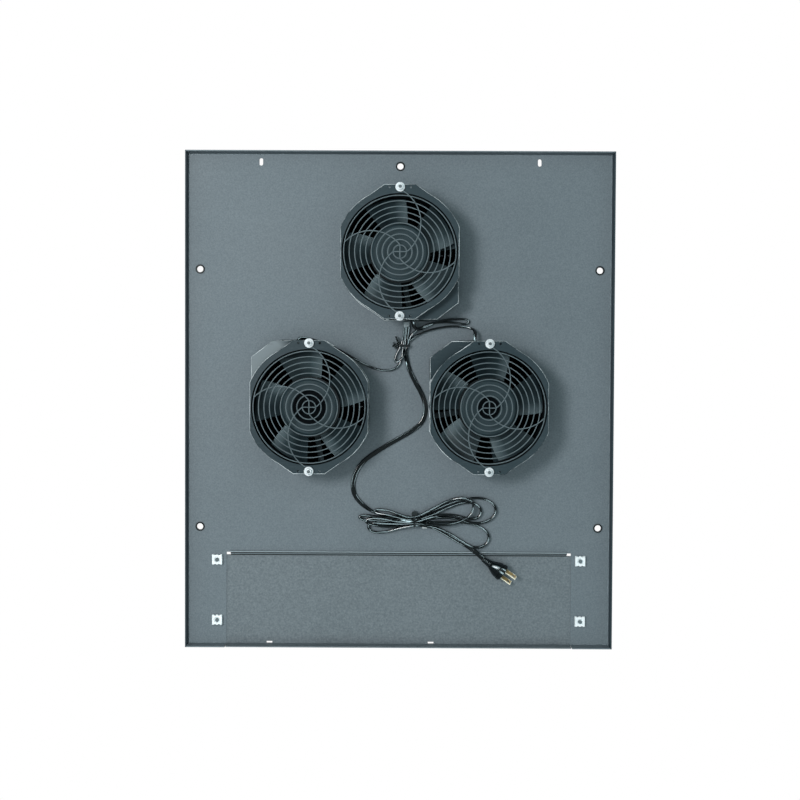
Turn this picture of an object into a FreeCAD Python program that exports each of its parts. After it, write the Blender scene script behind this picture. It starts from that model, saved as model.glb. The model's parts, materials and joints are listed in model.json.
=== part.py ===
import FreeCAD, Part
import math
import os
import re
import Sketcher
from FreeCAD import Rotation, Vector

# A sheet-steel top for an equipment rack, lying on its outer face with its three
# axial fans up.  Millimetres.  X is across the rack, +Y is its front, +Z is up.
# The origin is the middle of the sheet, on the surface that the part lies on.

doc = FreeCAD.newDocument("rack_fan_tray")
sheet = doc.addObject("Spreadsheet::Sheet", "Sizes")

SIZES = {
    # sheet metal
    "tray_width": 554.0, "tray_depth": 643.0, "sheet_gauge": 1.5, "rim_height": 18.0,
    "bend_radius": 2.5,
    "notch_half": 225.7, "notch_reach": 121.7, "lip_end_gap": 5.5, "lip_rise": 3.5,
    "cover_gauge": 1.5, "cover_wing": 25.3, "cover_lip_gap": 0.6, "cover_lip_rise": 4.0,
    "cover_relief": 3.0, "cover_edge_gap": 1.0,
    "hook_slot_left": 169.5, "hook_slot_right": 42.5, "hook_slot_length": 7.5,
    "hook_slot_width": 2.4, "hook_slot_inset": 2.9,
    # holes of the tray
    "bush_bore": 4.1, "bush_round": 4.9, "bush_flange": 6.0, "bush_rise": 1.0,
    "hole_inset": 16.5, "hole_front": 151.4, "hole_back": 155.1,
    "lock_hole_inset": 17.2, "key_slot_spread": 181.1, "key_slot_inset": 11.8,
    "key_slot_width": 4.7, "key_slot_length": 9.6, "arc_bridge": 4.0,
    "cut_past": 1.0,
    # cover fixings
    "cover_screw_round": 2.5, "cover_screw_head": 2.0, "cover_screw_side": 12.0,
    "cover_screw_back": 32.7, "cover_screw_pitch": 79.3, "cover_screw_past": 1.0,
    "cover_socket_round": 1.7, "cover_socket_deep": 1.2, "cage_side": 13.4,
    "cage_gauge": 0.7, "cage_rise": 4.2, "cage_corner": 1.6, "cage_window": 3.4,
    "nut_side": 10.2, "nut_play": 0.1,
    # fan places
    "fan_spread": 114.0, "side_fan_y": -8.0, "top_fan_y": 188.5,
    # fan casting
    "fan_depth": 51.0, "flange_gauge": 3.5, "flange_round": 81.3, "flange_flat": 75.0,
    "ear_past": 3.6, "ear_half": 20.0, "ear_foot": 68.0, "ear_foot_half": 43.7,
    "mouth_round": 72.5, "mouth_flare": 1.0, "bolt_reach": 81.0, "bolt_round": 2.0,
    "bolt_room": 0.2, "spare_hole_side": 13.5, "spare_hole_round": 1.5,
    "rib_gauge": 2.5, "rib_side": 16.0, "rib_back": 2.0, "motor_plate_round": 38.0,
    "motor_plate_rise": 3.5, "strut_width": 7.0, "strut_rise": 5.0, "strut_turn": 10.0,
    "boss_round": 9.5, "boss_rise": 34.0, "bearing_step": 1.5,
    # terminal corner of the casting
    "corner_low": 36.0, "corner_high": 63.5, "corner_in": 47.4, "corner_end": 8.0,
    "corner_base": 8.0, "corner_top": 37.0, "corner_wall": 2.2,
    "socket_near": 11.0, "socket_length": 27.0, "socket_low": 8.0, "socket_rise": 13.0,
    "socket_floor": 75.6, "socket_play": 0.2, "lead_plug_stand": 1.4,
    "lead_exit": 17.0, "pin_width": 2.8, "pin_gauge": 0.6, "pin_reach": 6.0,
    "pin_pitch": 11.0, "pin_play": 0.1,
    # motor
    "shaft_round": 2.5, "shaft_start": 0.6, "shaft_top": 41.8, "bearing_round": 6.5,
    "bearing_width": 4.0, "bearing_inset": 2.0, "running_gap": 0.03, "seat_gap": 0.02,
    "core_round": 30.4, "core_base": 9.0, "core_rise": 22.0, "winding_round": 25.0,
    "winding_rise": 1.6,
    "cup_round": 36.5, "cup_bore": 31.0, "cup_base": 8.0, "cup_rise": 35.0,
    "cup_crown": 3.0, "cup_bevel": 3.0, "cup_boss_round": 6.0, "cup_boss_drop": 3.0,
    "disc_gauge": 0.3, "left_disc_round": 21.5, "right_disc_round": 14.0,
    # impeller
    "ring_wall": 2.0, "ring_base": 10.0, "ring_rise": 30.0, "blade_count": 5.0,
    "blade_round": 71.0, "blade_span": 53.0, "blade_sweep": 9.0, "blade_base": 11.5,
    "blade_rise": 28.0, "blade_gauge": 2.2,
    # finger guard
    "guard_wire": 1.6, "guard_rings": 10.0, "guard_first": 8.4, "guard_pitch": 6.94,
    "guard_weld": 0.2, "spoke_round": 46.0, "eye_wall": 1.7,
    # fan fixings
    "bolt_head_round": 3.5, "washer_round": 6.0, "washer_rise": 1.2, "hex_round": 4.1,
    "hex_rise": 3.2, "bolt_past": 1.3, "thread_gap": 0.05,
    # supply cord, leads and plug
    "cord_width": 6.0, "cord_gauge": 3.0, "lead_width": 5.0, "lead_gauge": 2.6,
    "cord_rest": 3.05, "bundle_lift": 0.95, "bundle_rise": 7.0, "tie_width": 3.0,
    "tie_gauge": 0.8, "tie_play": 0.05, "splice_rise": 8.0,
    "hank_plate_rise": 3.4, "hank_core_rise": 11.0, "tie_side_play": 0.5,
    "tie_head_round": 3.8, "tie_head_rise": 8.0,
    "tab_length": 6.4, "tab_width": 5.0, "tab_gauge": 0.6,
    "plug_length": 20.0, "plug_rim": 6.0, "plug_width": 21.5, "plug_gauge": 17.0,
    "plug_neck": 10.0, "relief_bevel": 1.0,
    "plug_x": 121.9, "plug_y": -212.0, "plug_turn": -36.0, "relief_length": 12.0,
    "relief_thin": 7.6, "relief_thick": 9.6, "blade_pin_pitch": 12.7,
    "blade_pin_width": 6.4, "blade_pin_gauge": 1.5, "blade_pin_reach": 16.5,
    "blade_pin_root": 4.0, "pin_seat": 0.05,
}

for row, (alias, number) in enumerate(SIZES.items(), start=1):
    sheet.set(f"A{row}", alias)
    sheet.set(f"B{row}", str(number))
    sheet.setAlias(f"B{row}", alias)
doc.recompute()

ALIASES = re.compile(r"\b(" + "|".join(SIZES) + r")\b")
NODES = []
UP = Vector(0, 0, 1)


def formula(text):
    """A formula in the sheet's own words, as an expression of the document."""
    return ALIASES.sub(r"Sizes.\1", text)


def size(alias):
    return float(getattr(sheet, alias))


def bind(item, **links):
    for name, text in links.items():
        item.setExpression(name, formula(text))
    return item


def place(item, x="0", y="0", z="0", turn=None):
    for axis, text in zip("xyz", (x, y, z)):
        item.setExpression(f"Placement.Base.{axis}", formula(text))
    if turn is not None:
        item.setExpression("Placement.Rotation.Angle", formula(turn))
    return item


def node(item, name):
    """A finished sub-part: its label names its file."""
    item.Label = name
    NODES.append(item)
    return item


# ---------------------------------------------------------------- primitives

def cylinder(name, radius, height, x="0", y="0", z="0"):
    item = doc.addObject("Part::Cylinder", name)
    return place(bind(item, Radius=radius, Height=height), x, y, z)


def cone(name, low, high, height, x="0", y="0", z="0"):
    item = doc.addObject("Part::Cone", name)
    return place(bind(item, Radius1=low, Radius2=high, Height=height), x, y, z)


def block(name, length, width, height, x="0", y="0", z="0", turn=None):
    """A box centred on x and y that stands on z."""
    item = doc.addObject("Part::Box", name)
    bind(item, Length=length, Width=width, Height=height)
    if turn is None:
        return place(item, f"({x}) - ({length}) / 2", f"({y}) - ({width}) / 2", z)
    reach = f"sqrt(({length}) ^ 2 + ({width}) ^ 2) / 2"
    lean = f"({turn}) * 1deg + atan(({width}) / ({length}))"
    item.setExpression("Placement.Rotation.Angle", formula(turn))
    return place(item, f"({x}) - {reach} * cos({lean})", f"({y}) - {reach} * sin({lean})", z)


def polygon_rod(name, sides, radius, height, x="0", y="0", z="0"):
    item = doc.addObject("Part::Prism", name)
    item.Polygon = sides
    return place(bind(item, Circumradius=radius, Height=height), x, y, z)


def taper(name, half, foot_half, foot, top, height, z="0", turn=None):
    """A plate whose half width runs from foot_half at foot to half at top, along Y."""
    item = doc.addObject("Part::Wedge", name)
    bind(item, Xmin=f"-({foot_half})", Xmax=foot_half, Ymin=foot, Ymax=top, Zmin="0",
         Zmax=height, X2min=f"-({half})", X2max=half, Z2min="0", Z2max=height)
    return place(item, "0", "0", z, turn)


def cut(name, base, *tools):
    item = doc.addObject("Part::Cut", name)
    item.Base = base
    item.Tool = tools[0] if len(tools) == 1 else fuse(name + "_tools", *tools)
    return item


def fuse(name, *parts):
    item = doc.addObject("Part::MultiFuse", name)
    item.Shapes = list(parts)
    return item


def common(name, *parts):
    item = doc.addObject("Part::MultiCommon", name)
    item.Shapes = list(parts)
    return item


def group(name, *parts):
    item = doc.addObject("Part::Compound", name)
    item.Links = list(parts)
    return item


def pipe(name, outer, inner, height, x="0", y="0", z="0"):
    hole = cylinder(name + "_bore", inner, height, x, y, z)
    return cut(name, cylinder(name + "_round", outer, height, x, y, z), hole)


def plate(name, corners, height, z):
    """A flat plate of straight edges, set from sheet values where it is called."""
    item = doc.addObject("Part::Feature", name)
    loop = Part.makePolygon([Vector(x, y, z) for x, y in corners + corners[:1]])
    item.Shape = Part.Face(loop).extrude(UP * height)
    return item


# ---------------------------------------------------------------- sketches

def sketch_in(body, name, role, lift=None):
    sketch = body.newObject("Sketcher::SketchObject", name)
    plane = next(f for f in body.Origin.OriginFeatures if f.Role == role)
    sketch.AttachmentSupport = [(plane, "")]
    sketch.MapMode = "FlatFace"
    if lift is not None:
        sketch.setExpression("AttachmentOffset.Base.z", formula(lift))
    return sketch


def pin_corner(sketch, line, x, y):
    """Ties the start of a line to two formulas, from the sketch's own origin."""
    for kind, text in (("DistanceX", x), ("DistanceY", y)):
        start = sketch.Geometry[line].StartPoint
        now = start.x if kind == "DistanceX" else start.y
        index = sketch.addConstraint(Sketcher.Constraint(kind, -1, 1, line, 1, now))
        sketch.setExpression(f"Constraints[{index}]", formula(text))


def outline(sketch, corners):
    """A closed outline of straight lines whose corners are pairs of formulas."""
    numbers = [(evaluate(x), evaluate(y)) for x, y in corners]
    count = len(corners)
    for index in range(count):
        x, y = numbers[index]
        next_x, next_y = numbers[(index + 1) % count]
        sketch.addGeometry(Part.LineSegment(Vector(x, y, 0), Vector(next_x, next_y, 0)))
    for index in range(count):
        following = (index + 1) % count
        sketch.addConstraint(Sketcher.Constraint("Coincident", index, 2, following, 1))
    for index, (x, y) in enumerate(corners):
        pin_corner(sketch, index, x, y)
    return sketch


def evaluate(text):
    return float(sheet.evalExpression(text))


# ---------------------------------------------------------------- levels and places

TRAY_BASE = "cover_gauge"
TRAY_TOP = "(cover_gauge + sheet_gauge)"
FRONT = "tray_depth / 2"
BACK = "-tray_depth / 2"
NOTCH_EDGE = f"({BACK} + notch_reach)"
EAR_REACH = "(bolt_reach + ear_past)"
LIP_LENGTH = "2 * (notch_half - lip_end_gap)"
RING_SIDES = 24
TURN_OF = {"top": "180", "left": "0", "right": "0"}
FAN_X = {"top": "0", "left": "-fan_spread", "right": "fan_spread"}
FAN_Y = {"top": "top_fan_y", "left": "side_fan_y", "right": "side_fan_y"}
FANS = ("top", "left", "right")
COVER_SCREWS = [(f"{side} * (notch_half + cover_screw_side)",
                 f"{BACK} + cover_screw_back + {row} * cover_screw_pitch")
                for side in (-1, 1) for row in (0, 1)]
FIXINGS = [(f"{side} * (tray_width / 2 - hole_inset)", y) for side in (-1, 1)
           for y in (f"{FRONT} - hole_front", f"{BACK} + hole_back")]
FIXINGS.append(("0", f"{FRONT} - lock_hole_inset"))
BOLTS = [(FAN_X[fan], f"{FAN_Y[fan]} + {end} * bolt_reach") for fan in FANS for end in (-1, 1)]


def seat(item, fan, turned=True):
    """Puts a piece that was drawn about a fan's own centre into its place."""
    turn = TURN_OF[fan] if turned else "0"
    return place(item, FAN_X[fan], FAN_Y[fan], TRAY_TOP, turn)


# ---------------------------------------------------------------- tray

def tray_shell():
    """The folded sheet: a shell with one deep front wall and an open notch behind."""
    body = doc.addObject("PartDesign::Body", "tray_shell")
    floor = sketch_in(body, "tray_floor", "XY_Plane", TRAY_BASE)
    outline(floor, [("-tray_width / 2", BACK), ("tray_width / 2", BACK),
                    ("tray_width / 2", FRONT), ("-tray_width / 2", FRONT)])
    pad = body.newObject("PartDesign::Pad", "tray_block")
    pad.Profile = floor
    bind(pad, Length="sheet_gauge + rim_height")
    doc.recompute()
    low = pad.Shape.BoundBox.ZMin
    bends = [f"Edge{number}" for number, edge in enumerate(pad.Shape.Edges, start=1)
             if abs(edge.BoundBox.ZMax - low) < 0.01]
    fillet = body.newObject("PartDesign::Fillet", "tray_bends")
    fillet.Base = (pad, bends)
    bind(fillet, Radius="bend_radius")
    doc.recompute()
    high = fillet.Shape.BoundBox.ZMax
    mouth = [f"Face{number}" for number, face in enumerate(fillet.Shape.Faces, start=1)
             if abs(face.BoundBox.ZMin - high) < 0.01]
    shell = body.newObject("PartDesign::Thickness", "tray_walls")
    shell.Base = (fillet, mouth)
    shell.Reversed = True
    bind(shell, Value="sheet_gauge")
    doc.recompute()
    notch = sketch_in(body, "notch_outline", "XY_Plane")
    outline(notch, [("-notch_half", f"{BACK} - cut_past"), ("notch_half", f"{BACK} - cut_past"),
                    ("notch_half", NOTCH_EDGE), ("-notch_half", NOTCH_EDGE)])
    opening = body.newObject("PartDesign::Pocket", "rear_notch")
    opening.Profile = notch
    opening.Type = "ThroughAll"
    opening.Midplane = True
    return body


def key_slot(name, x):
    y = f"{FRONT} - key_slot_inset"
    straight = "(key_slot_length - key_slot_width)"
    ends = [cylinder(f"{name}_end{sign}", "key_slot_width / 2", "sheet_gauge", x,
                     f"{y} + {sign} * {straight} / 2", TRAY_BASE) for sign in (-1, 1)]
    middle = block(name + "_middle", "key_slot_width", straight, "sheet_gauge", x, y, TRAY_BASE)
    return fuse(name, middle, *ends)


def air_arcs(fan):
    """Three rings of arc slots under a fan, bridged by a diagonal cross."""
    at = (FAN_X[fan], FAN_Y[fan], TRAY_BASE)
    step = "(mouth_round - motor_plate_round - arc_bridge) / 3"
    rings = []
    for index in range(3):
        outer = f"mouth_round - {index} * {step}"
        rings.append(pipe(f"air_ring_{fan}_{index}", outer, f"{outer} - {step} + arc_bridge",
                          "sheet_gauge", *at))
    bars = [block(f"air_bar_{fan}_{turn}", "2 * mouth_round", "arc_bridge + cut_past", "sheet_gauge",
                  *at, turn=str(turn)) for turn in (45, 135)]
    return cut(f"air_arcs_{fan}", group(f"air_rings_{fan}", *rings), *bars)


def screw_hole(name, x, y, hole, head, base, rise):
    """A countersunk hole through one sheet."""
    return fuse(name, cone(name + "_sink", head, hole, f"({head}) - ({hole})", x, y, base),
                cylinder(name + "_bore", hole, rise, x, y, base))


def fan_panel():
    lip = block("notch_lip", LIP_LENGTH, "sheet_gauge", "sheet_gauge + lip_rise", "0",
                f"{NOTCH_EDGE} + sheet_gauge / 2", TRAY_BASE)
    whole = fuse("tray_with_lip", tray_shell(), lip)
    tools = [cylinder(f"bush_hole_{index}", "bush_round", "sheet_gauge", x, y, TRAY_BASE)
             for index, (x, y) in enumerate(FIXINGS)]
    tools += [key_slot("key_slot_left", "-key_slot_spread"),
              key_slot("key_slot_right", "key_slot_spread")]
    tools += [air_arcs(fan) for fan in FANS]
    tools += [cylinder(f"tray_cover_hole_{index}", "cover_screw_round + bolt_room",
                       "sheet_gauge", x, y, TRAY_BASE)
              for index, (x, y) in enumerate(COVER_SCREWS)]
    tools += [screw_hole(f"tray_bolt_hole_{index}", x, y, "bolt_round + bolt_room",
                         "bolt_head_round + bolt_room", TRAY_BASE, "sheet_gauge")
              for index, (x, y) in enumerate(BOLTS)]
    node(cut("fan_panel", whole, *tools), "fan_panel")


def fixing_bushes():
    """Five flanged bushes pressed into the sheet, through which it is screwed down."""
    rings = []
    for index, (x, y) in enumerate(FIXINGS):
        body = cylinder(f"bush_body_{index}", "bush_round", "sheet_gauge", x, y, TRAY_BASE)
        flange_ring = cylinder(f"bush_flange_{index}", "bush_flange", "bush_rise", x, y, TRAY_TOP)
        bore = cylinder(f"bush_bore_{index}", "bush_bore", "sheet_gauge + bush_rise", x, y,
                        TRAY_BASE)
        rings.append(cut(f"bush_{index}", fuse(f"bush_blank_{index}", body, flange_ring), bore))
    node(group("fixing_bushes", *rings), "fixing_bushes")


def cable_cover_plate():
    """The plate that closes the notch from outside, with a lip and a rear wall."""
    lip_y = f"{NOTCH_EDGE} - cover_lip_gap - cover_gauge / 2"
    shelf = f"{NOTCH_EDGE} - cover_lip_gap - cover_relief"
    base = block("cover_base", "2 * (notch_half + cover_wing)", f"({shelf}) - ({BACK})", "cover_gauge", "0",
                 f"(({shelf}) + ({BACK})) / 2", "0")
    tongue = block("cover_tongue", LIP_LENGTH, "cover_relief + cut_past", "cover_gauge", "0",
                   f"({shelf}) + (cover_relief - cut_past) / 2", "0")
    lip = block("cover_lip", LIP_LENGTH, "cover_gauge", "cover_gauge + cover_lip_rise",
                "0", lip_y, "0")
    wall = block("cover_rear_wall", "2 * (notch_half - cover_edge_gap)", "cover_gauge",
                 "cover_gauge + rim_height", "0", f"{BACK} + cover_gauge / 2", "0")
    hooks = [block(f"hook_slot_{x}", "hook_slot_length", "hook_slot_width", "cover_gauge", x,
                   f"{BACK} + hook_slot_inset", "0")
             for x in ("-hook_slot_left", "hook_slot_right")]
    holes = [screw_hole(f"cover_hole_{index}", x, y, "cover_screw_round + bolt_room",
                        "cover_screw_round + cover_gauge + bolt_room", "0", "cover_gauge")
             for index, (x, y) in enumerate(COVER_SCREWS)]
    whole = fuse("cover_blank", base, tongue, lip, wall)
    node(cut("cable_cover_plate", whole, *hooks, *holes), "cable_cover_plate")


def cover_fixings():
    """Four countersunk screws, each in a square nut held by a spring cage."""
    screws, cages, nuts = [], [], []
    hold = "(cage_rise - cage_gauge)"
    for index, (x, y) in enumerate(COVER_SCREWS):
        head = cone(f"cover_screw_head_{index}", "cover_screw_round + cover_gauge",
                    "cover_screw_round", "cover_gauge", x, y, "0")
        shank = cylinder(f"cover_screw_shank_{index}", "cover_screw_round",
                         f"{TRAY_TOP} + cage_rise + cover_screw_past", x, y, "0")
        socket = polygon_rod(f"cover_screw_socket_{index}", 6, "cover_socket_round",
                             "cover_socket_deep", x, y, "0")
        screws.append(cut(f"cover_screw_{index}", fuse(f"cover_screw_blank_{index}", head, shank),
                          socket))
        outside = block(f"cage_block_{index}", "cage_side", "cage_side", "cage_rise", x, y,
                        TRAY_TOP)
        inside = block(f"cage_room_{index}", "cage_side - 2 * cage_gauge", "cage_side + cut_past",
                       f"{hold} - cage_gauge", x, y, f"{TRAY_TOP} + cage_gauge")
        window = cylinder(f"cage_window_{index}", "cage_window", "cage_rise", x, y, TRAY_TOP)
        corners = [block(f"cage_corner_{index}_{a}_{b}", "cage_corner", "cage_corner", "cage_rise",
                         f"{x} + {a} * cage_side / 2", f"{y} + {b} * cage_side / 2", TRAY_TOP)
                   for a in (-1, 1) for b in (-1, 1)]
        cages.append(cut(f"cage_{index}", outside, inside, window, *corners))
        nut = block(f"square_nut_block_{index}", "nut_side", "nut_side",
                    f"{hold} - cage_gauge - nut_play", x, y, f"{TRAY_TOP} + cage_gauge")
        bore = cylinder(f"square_nut_bore_{index}", "cover_screw_round + thread_gap",
                        "cage_rise", x, y, TRAY_TOP)
        nuts.append(cut(f"square_nut_{index}", nut, bore))
    node(group("cover_screws", *screws), "cover_screws")
    node(group("cover_nut_cages", *cages), "cover_nut_cages")
    node(group("cover_nuts", *nuts), "cover_nuts")


# ---------------------------------------------------------------- fans

def flange(name, z):
    """A rounded flange with two flats and two fixing ears, drawn solid."""
    disc = cylinder(name + "_disc", "flange_round", "flange_gauge", z=z)
    flats = block(name + "_flats", "2 * flange_flat", f"2 * {EAR_REACH}", "flange_gauge", z=z)
    ears = [taper(f"{name}_ear{turn}", "ear_half", "ear_foot_half", "ear_foot", EAR_REACH,
                  "flange_gauge", z, str(turn)) for turn in (0, 180)]
    return fuse(name, common(name + "_round", disc, flats), *ears)


def terminal_corner(fan):
    """The hollow corner of the casting that houses the lead's socket."""
    wall = size("corner_wall")
    flat, reach = size("flange_flat"), size("bolt_reach") + size("ear_past")
    low, high = size("corner_low"), size("corner_high")
    near, end = size("corner_in"), size("corner_end")
    outer = [(-flat, low), (-flat, high), (-near, reach), (-end, reach), (-end, low)]
    inner = [(-flat + wall, low - wall), (-flat + wall, high - wall / 2),
             (-near + wall / 2, reach - wall), (-end - wall, reach - wall),
             (-end - wall, low - wall)]
    rise = size("corner_top") - size("corner_base")
    base = size("corner_base")
    shell = cut(f"corner_shell_{fan}", plate(f"corner_block_{fan}", outer, rise, base),
                plate(f"corner_room_{fan}", inner, rise - wall, base))
    near_x = "-(socket_near + socket_length / 2)"
    housing = block(f"socket_housing_{fan}", "socket_length + 2 * corner_wall",
                    f"{EAR_REACH} - socket_floor + corner_wall", "socket_rise + 2 * corner_wall",
                    near_x, f"({EAR_REACH} + socket_floor - corner_wall) / 2",
                    "socket_low - corner_wall")
    return fuse(f"terminal_corner_{fan}", shell, housing)


def fan_frame(fan):
    """The die-cast frame: two flanges, the throat, motor spider and terminal corner."""
    top = "fan_depth - flange_gauge"
    rims = [flange(f"rear_flange_{fan}", "0"), flange(f"front_flange_{fan}", top)]
    throat = cylinder(f"throat_{fan}", "flange_flat", "fan_depth")
    ribs = [block(f"ear_rib_{fan}_{side}_{end}", "rib_gauge", f"{EAR_REACH} - ear_foot - rib_back",
                  "fan_depth", f"{side} * rib_side",
                  f"{end} * ({EAR_REACH} + ear_foot - rib_back) / 2")
            for side in (-1, 1) for end in (-1, 1)]
    outside = fuse(f"frame_outside_{fan}", throat, *rims, *ribs, terminal_corner(fan))
    bore = cylinder(f"throat_bore_{fan}", "mouth_round", "fan_depth")
    flare = cone(f"throat_flare_{fan}", "mouth_round", "mouth_round + mouth_flare",
                 "2 * mouth_flare", z="fan_depth - 2 * mouth_flare")
    socket = block(f"lead_socket_{fan}", "socket_length", f"{EAR_REACH} - socket_floor + cut_past",
                   "socket_rise", "-(socket_near + socket_length / 2)",
                   f"({EAR_REACH} + socket_floor + cut_past) / 2", "socket_low")
    holes = [cylinder(f"ear_hole_{fan}_{end}", "bolt_round + bolt_room", "fan_depth", "0",
                      f"{end} * bolt_reach") for end in (-1, 1)]
    holes += [cylinder(f"spare_hole_{fan}_{side}_{end}", "spare_hole_round", "flange_gauge",
                       f"{side} * spare_hole_side", f"{end} * bolt_reach", top)
              for side in (-1, 1) for end in (-1, 1)]
    ring = cut(f"frame_ring_{fan}", outside, bore, flare, socket, *holes)
    struts = [block(f"strut_{fan}_{turn}", "2 * mouth_round + 1", "strut_width", "strut_rise",
                    turn=f"strut_turn + {turn}") for turn in (0, 90)]
    hub = cylinder(f"motor_plate_{fan}", "motor_plate_round", "motor_plate_rise")
    boss = cylinder(f"motor_boss_{fan}", "boss_round", "boss_rise")
    spider = fuse(f"spider_{fan}", hub, boss, *struts)
    seats = [cylinder(f"bearing_seat_{fan}_{index}", "bearing_round + seat_gap",
                      "bearing_width + bearing_inset", z=z)
             for index, z in enumerate(("0", "boss_rise - bearing_width"))]
    waist = cylinder(f"boss_waist_{fan}", "bearing_round - bearing_step", "boss_rise")
    hollow = cut(f"hollow_spider_{fan}", spider, waist, *seats)
    node(seat(fuse(f"fan_frame_{fan}", ring, hollow), fan), f"fan_frame_{fan}")


def motor(fan):
    """The wound core that stays, and the cup and shaft that turn round it."""
    core = polygon_rod(f"core_stack_{fan}", 24, "core_round", "core_rise", z="core_base")
    coils = polygon_rod(f"core_coils_{fan}", 24, "winding_round",
                        "core_rise + 2 * winding_rise", z="core_base - winding_rise")
    hole = cylinder(f"core_bore_{fan}", "boss_round + seat_gap",
                    "core_rise + 2 * winding_rise", z="core_base - winding_rise")
    wound = cut(f"wound_core_{fan}", fuse(f"core_blank_{fan}", core, coils), hole)
    node(seat(wound, fan), f"motor_core_{fan}")
    shaft = cylinder(f"shaft_{fan}", "shaft_round", "shaft_top - shaft_start", FAN_X[fan],
                     FAN_Y[fan], f"{TRAY_TOP} + shaft_start")
    node(shaft, f"motor_shaft_{fan}")
    wall = "cup_rise - cup_bevel"
    outside = fuse(f"cup_outside_{fan}",
                   cylinder(f"cup_wall_{fan}", "cup_round", wall, z="cup_base"),
                   cone(f"cup_edge_{fan}", "cup_round", "cup_round - cup_bevel", "cup_bevel",
                        z=f"cup_base + {wall}"))
    room = pipe(f"cup_room_{fan}", "cup_bore", "cup_boss_round", "cup_rise - cup_crown",
                z="cup_base")
    core_room = cylinder(f"cup_core_room_{fan}", "cup_boss_round",
                         "cup_rise - cup_crown - cup_boss_drop", z="cup_base")
    bore = cylinder(f"cup_bore_{fan}", "shaft_round + seat_gap",
                    "shaft_top + seat_gap - cup_base", z="cup_base")
    cup = cut(f"rotor_cup_{fan}", outside, room, core_room, bore)
    node(seat(cup, fan), f"rotor_cup_{fan}")


def motor_bearings():
    rings = []
    for fan in FANS:
        for index, z in enumerate(("bearing_inset", "boss_rise - bearing_width")):
            rings.append(pipe(f"bearing_{fan}_{index}", "bearing_round",
                              "shaft_round + running_gap", "bearing_width", FAN_X[fan],
                              FAN_Y[fan], f"{TRAY_TOP} + {z}"))
    node(group("motor_bearings", *rings), "motor_bearings")


def hub_disc(fan, radius):
    disc = cylinder(f"disc_{fan}", radius, "disc_gauge", FAN_X[fan], FAN_Y[fan],
                    f"{TRAY_TOP} + cup_base + cup_rise")
    node(disc, f"hub_disc_{fan}")


def blade():
    """One twisted blade: upright sections turned and lifted along a screw line."""
    steps = 4
    span, sweep = math.radians(size("blade_span")), math.radians(size("blade_sweep"))
    inner = size("cup_round") + size("ring_wall") / 2
    outer, thick = size("blade_round"), size("blade_gauge")
    sections = []
    for index in range(steps + 1):
        share = index / steps
        root = span * (share - 0.5)
        tip = root + sweep * (1 - share)
        low = size("blade_base") + share * (size("blade_rise") - thick)
        foot = Vector(inner * math.cos(root), inner * math.sin(root), low)
        end = Vector(outer * math.cos(tip), outer * math.sin(tip), low)
        rise = UP * thick
        sections.append(Part.makePolygon([foot, end, end + rise, foot + rise, foot]))
    return Part.makeLoft(sections, True, True)


def impeller(fan, lead):
    """Five blades on a ring that is pressed over the rotor cup."""
    height = size("ring_rise")
    base = Vector(0, 0, size("ring_base"))
    outer = size("cup_round") + size("ring_wall")
    ring = Part.makeCylinder(outer, height, base)
    count = int(size("blade_count"))
    form = blade()
    blades = []
    for index in range(count):
        copy = form.copy()
        copy.rotate(Vector(), UP, lead + 360.0 * index / count)
        blades.append(copy)
    bore = Part.makeCylinder(size("cup_round") + size("seat_gap"), height, base)
    item = doc.addObject("Part::Feature", f"impeller_{fan}")
    item.Shape = ring.fuse(blades).cut(bore).removeSplitter()
    node(seat(item, fan, turned=False), f"impeller_{fan}")


def spoke_centre():
    """The centre of a spoke's arc, which runs from the first ring to the fixing eye."""
    start = Vector(size("guard_first"), 0, 0)
    eye = size("bolt_round") + size("bolt_room") + size("eye_wall") / 2
    end = Vector(0, size("bolt_reach") - eye, 0)
    half = (end - start) * 0.5
    reach = math.sqrt(size("spoke_round") ** 2 - half.Length ** 2)
    side = Vector(-half.y, half.x, 0).normalize()
    return start + half + side * reach, start, end


def finger_guard(fan):
    """Welded rings of wire on four curved spokes, held under the two nuts."""
    wire, base = "guard_wire", "fan_depth"
    lift = f"{base} + guard_wire - guard_weld"
    parts = []
    for index in range(int(size("guard_rings"))):
        radius = f"(guard_first + {index} * guard_pitch)"
        outer = polygon_rod(f"ring_out_{fan}_{index}", RING_SIDES, f"{radius} + guard_wire / 2", wire,
                            z=lift)
        inner = polygon_rod(f"ring_in_{fan}_{index}", RING_SIDES, f"{radius} - guard_wire / 2", wire,
                            z=lift)
        parts.append(cut(f"ring_{fan}_{index}", outer, inner))
    parts += [block(f"cross_bar_{fan}_{turn}", "2 * guard_first", wire, wire, z=base,
                    turn=str(turn)) for turn in (0, 90)]
    for end in (-1, 1):
        eye = pipe(f"eye_{fan}_{end}", "bolt_round + bolt_room + eye_wall",
                   "bolt_round + bolt_room", wire, "0", f"{end} * bolt_reach", base)
        parts.append(eye)
    parts.append(spokes(fan))
    guard = fuse(f"finger_guard_{fan}", *parts)
    node(seat(guard, fan, turned=False), f"finger_guard_{fan}")


def spokes(fan):
    """The four arms: two run out to the eyes and two stop at the last ring."""
    centre, start, end = spoke_centre()
    half, rise = size("guard_wire") / 2, size("guard_wire")
    reach = size("guard_first") + (size("guard_rings") - 1) * size("guard_pitch")
    long_arm = spoke(centre, start, end, half, rise)
    short_arm = long_arm.common(Part.makeCylinder(reach + half, rise))
    arms = []
    for quarter, form in enumerate((long_arm, short_arm, long_arm, short_arm)):
        arm = form.copy()
        arm.rotate(Vector(), UP, 90 * quarter)
        arm.translate(UP * size("fan_depth"))
        arms.append(arm)
    item = doc.addObject("Part::Feature", f"spokes_{fan}")
    item.Shape = Part.makeCompound(arms)
    return item


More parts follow.
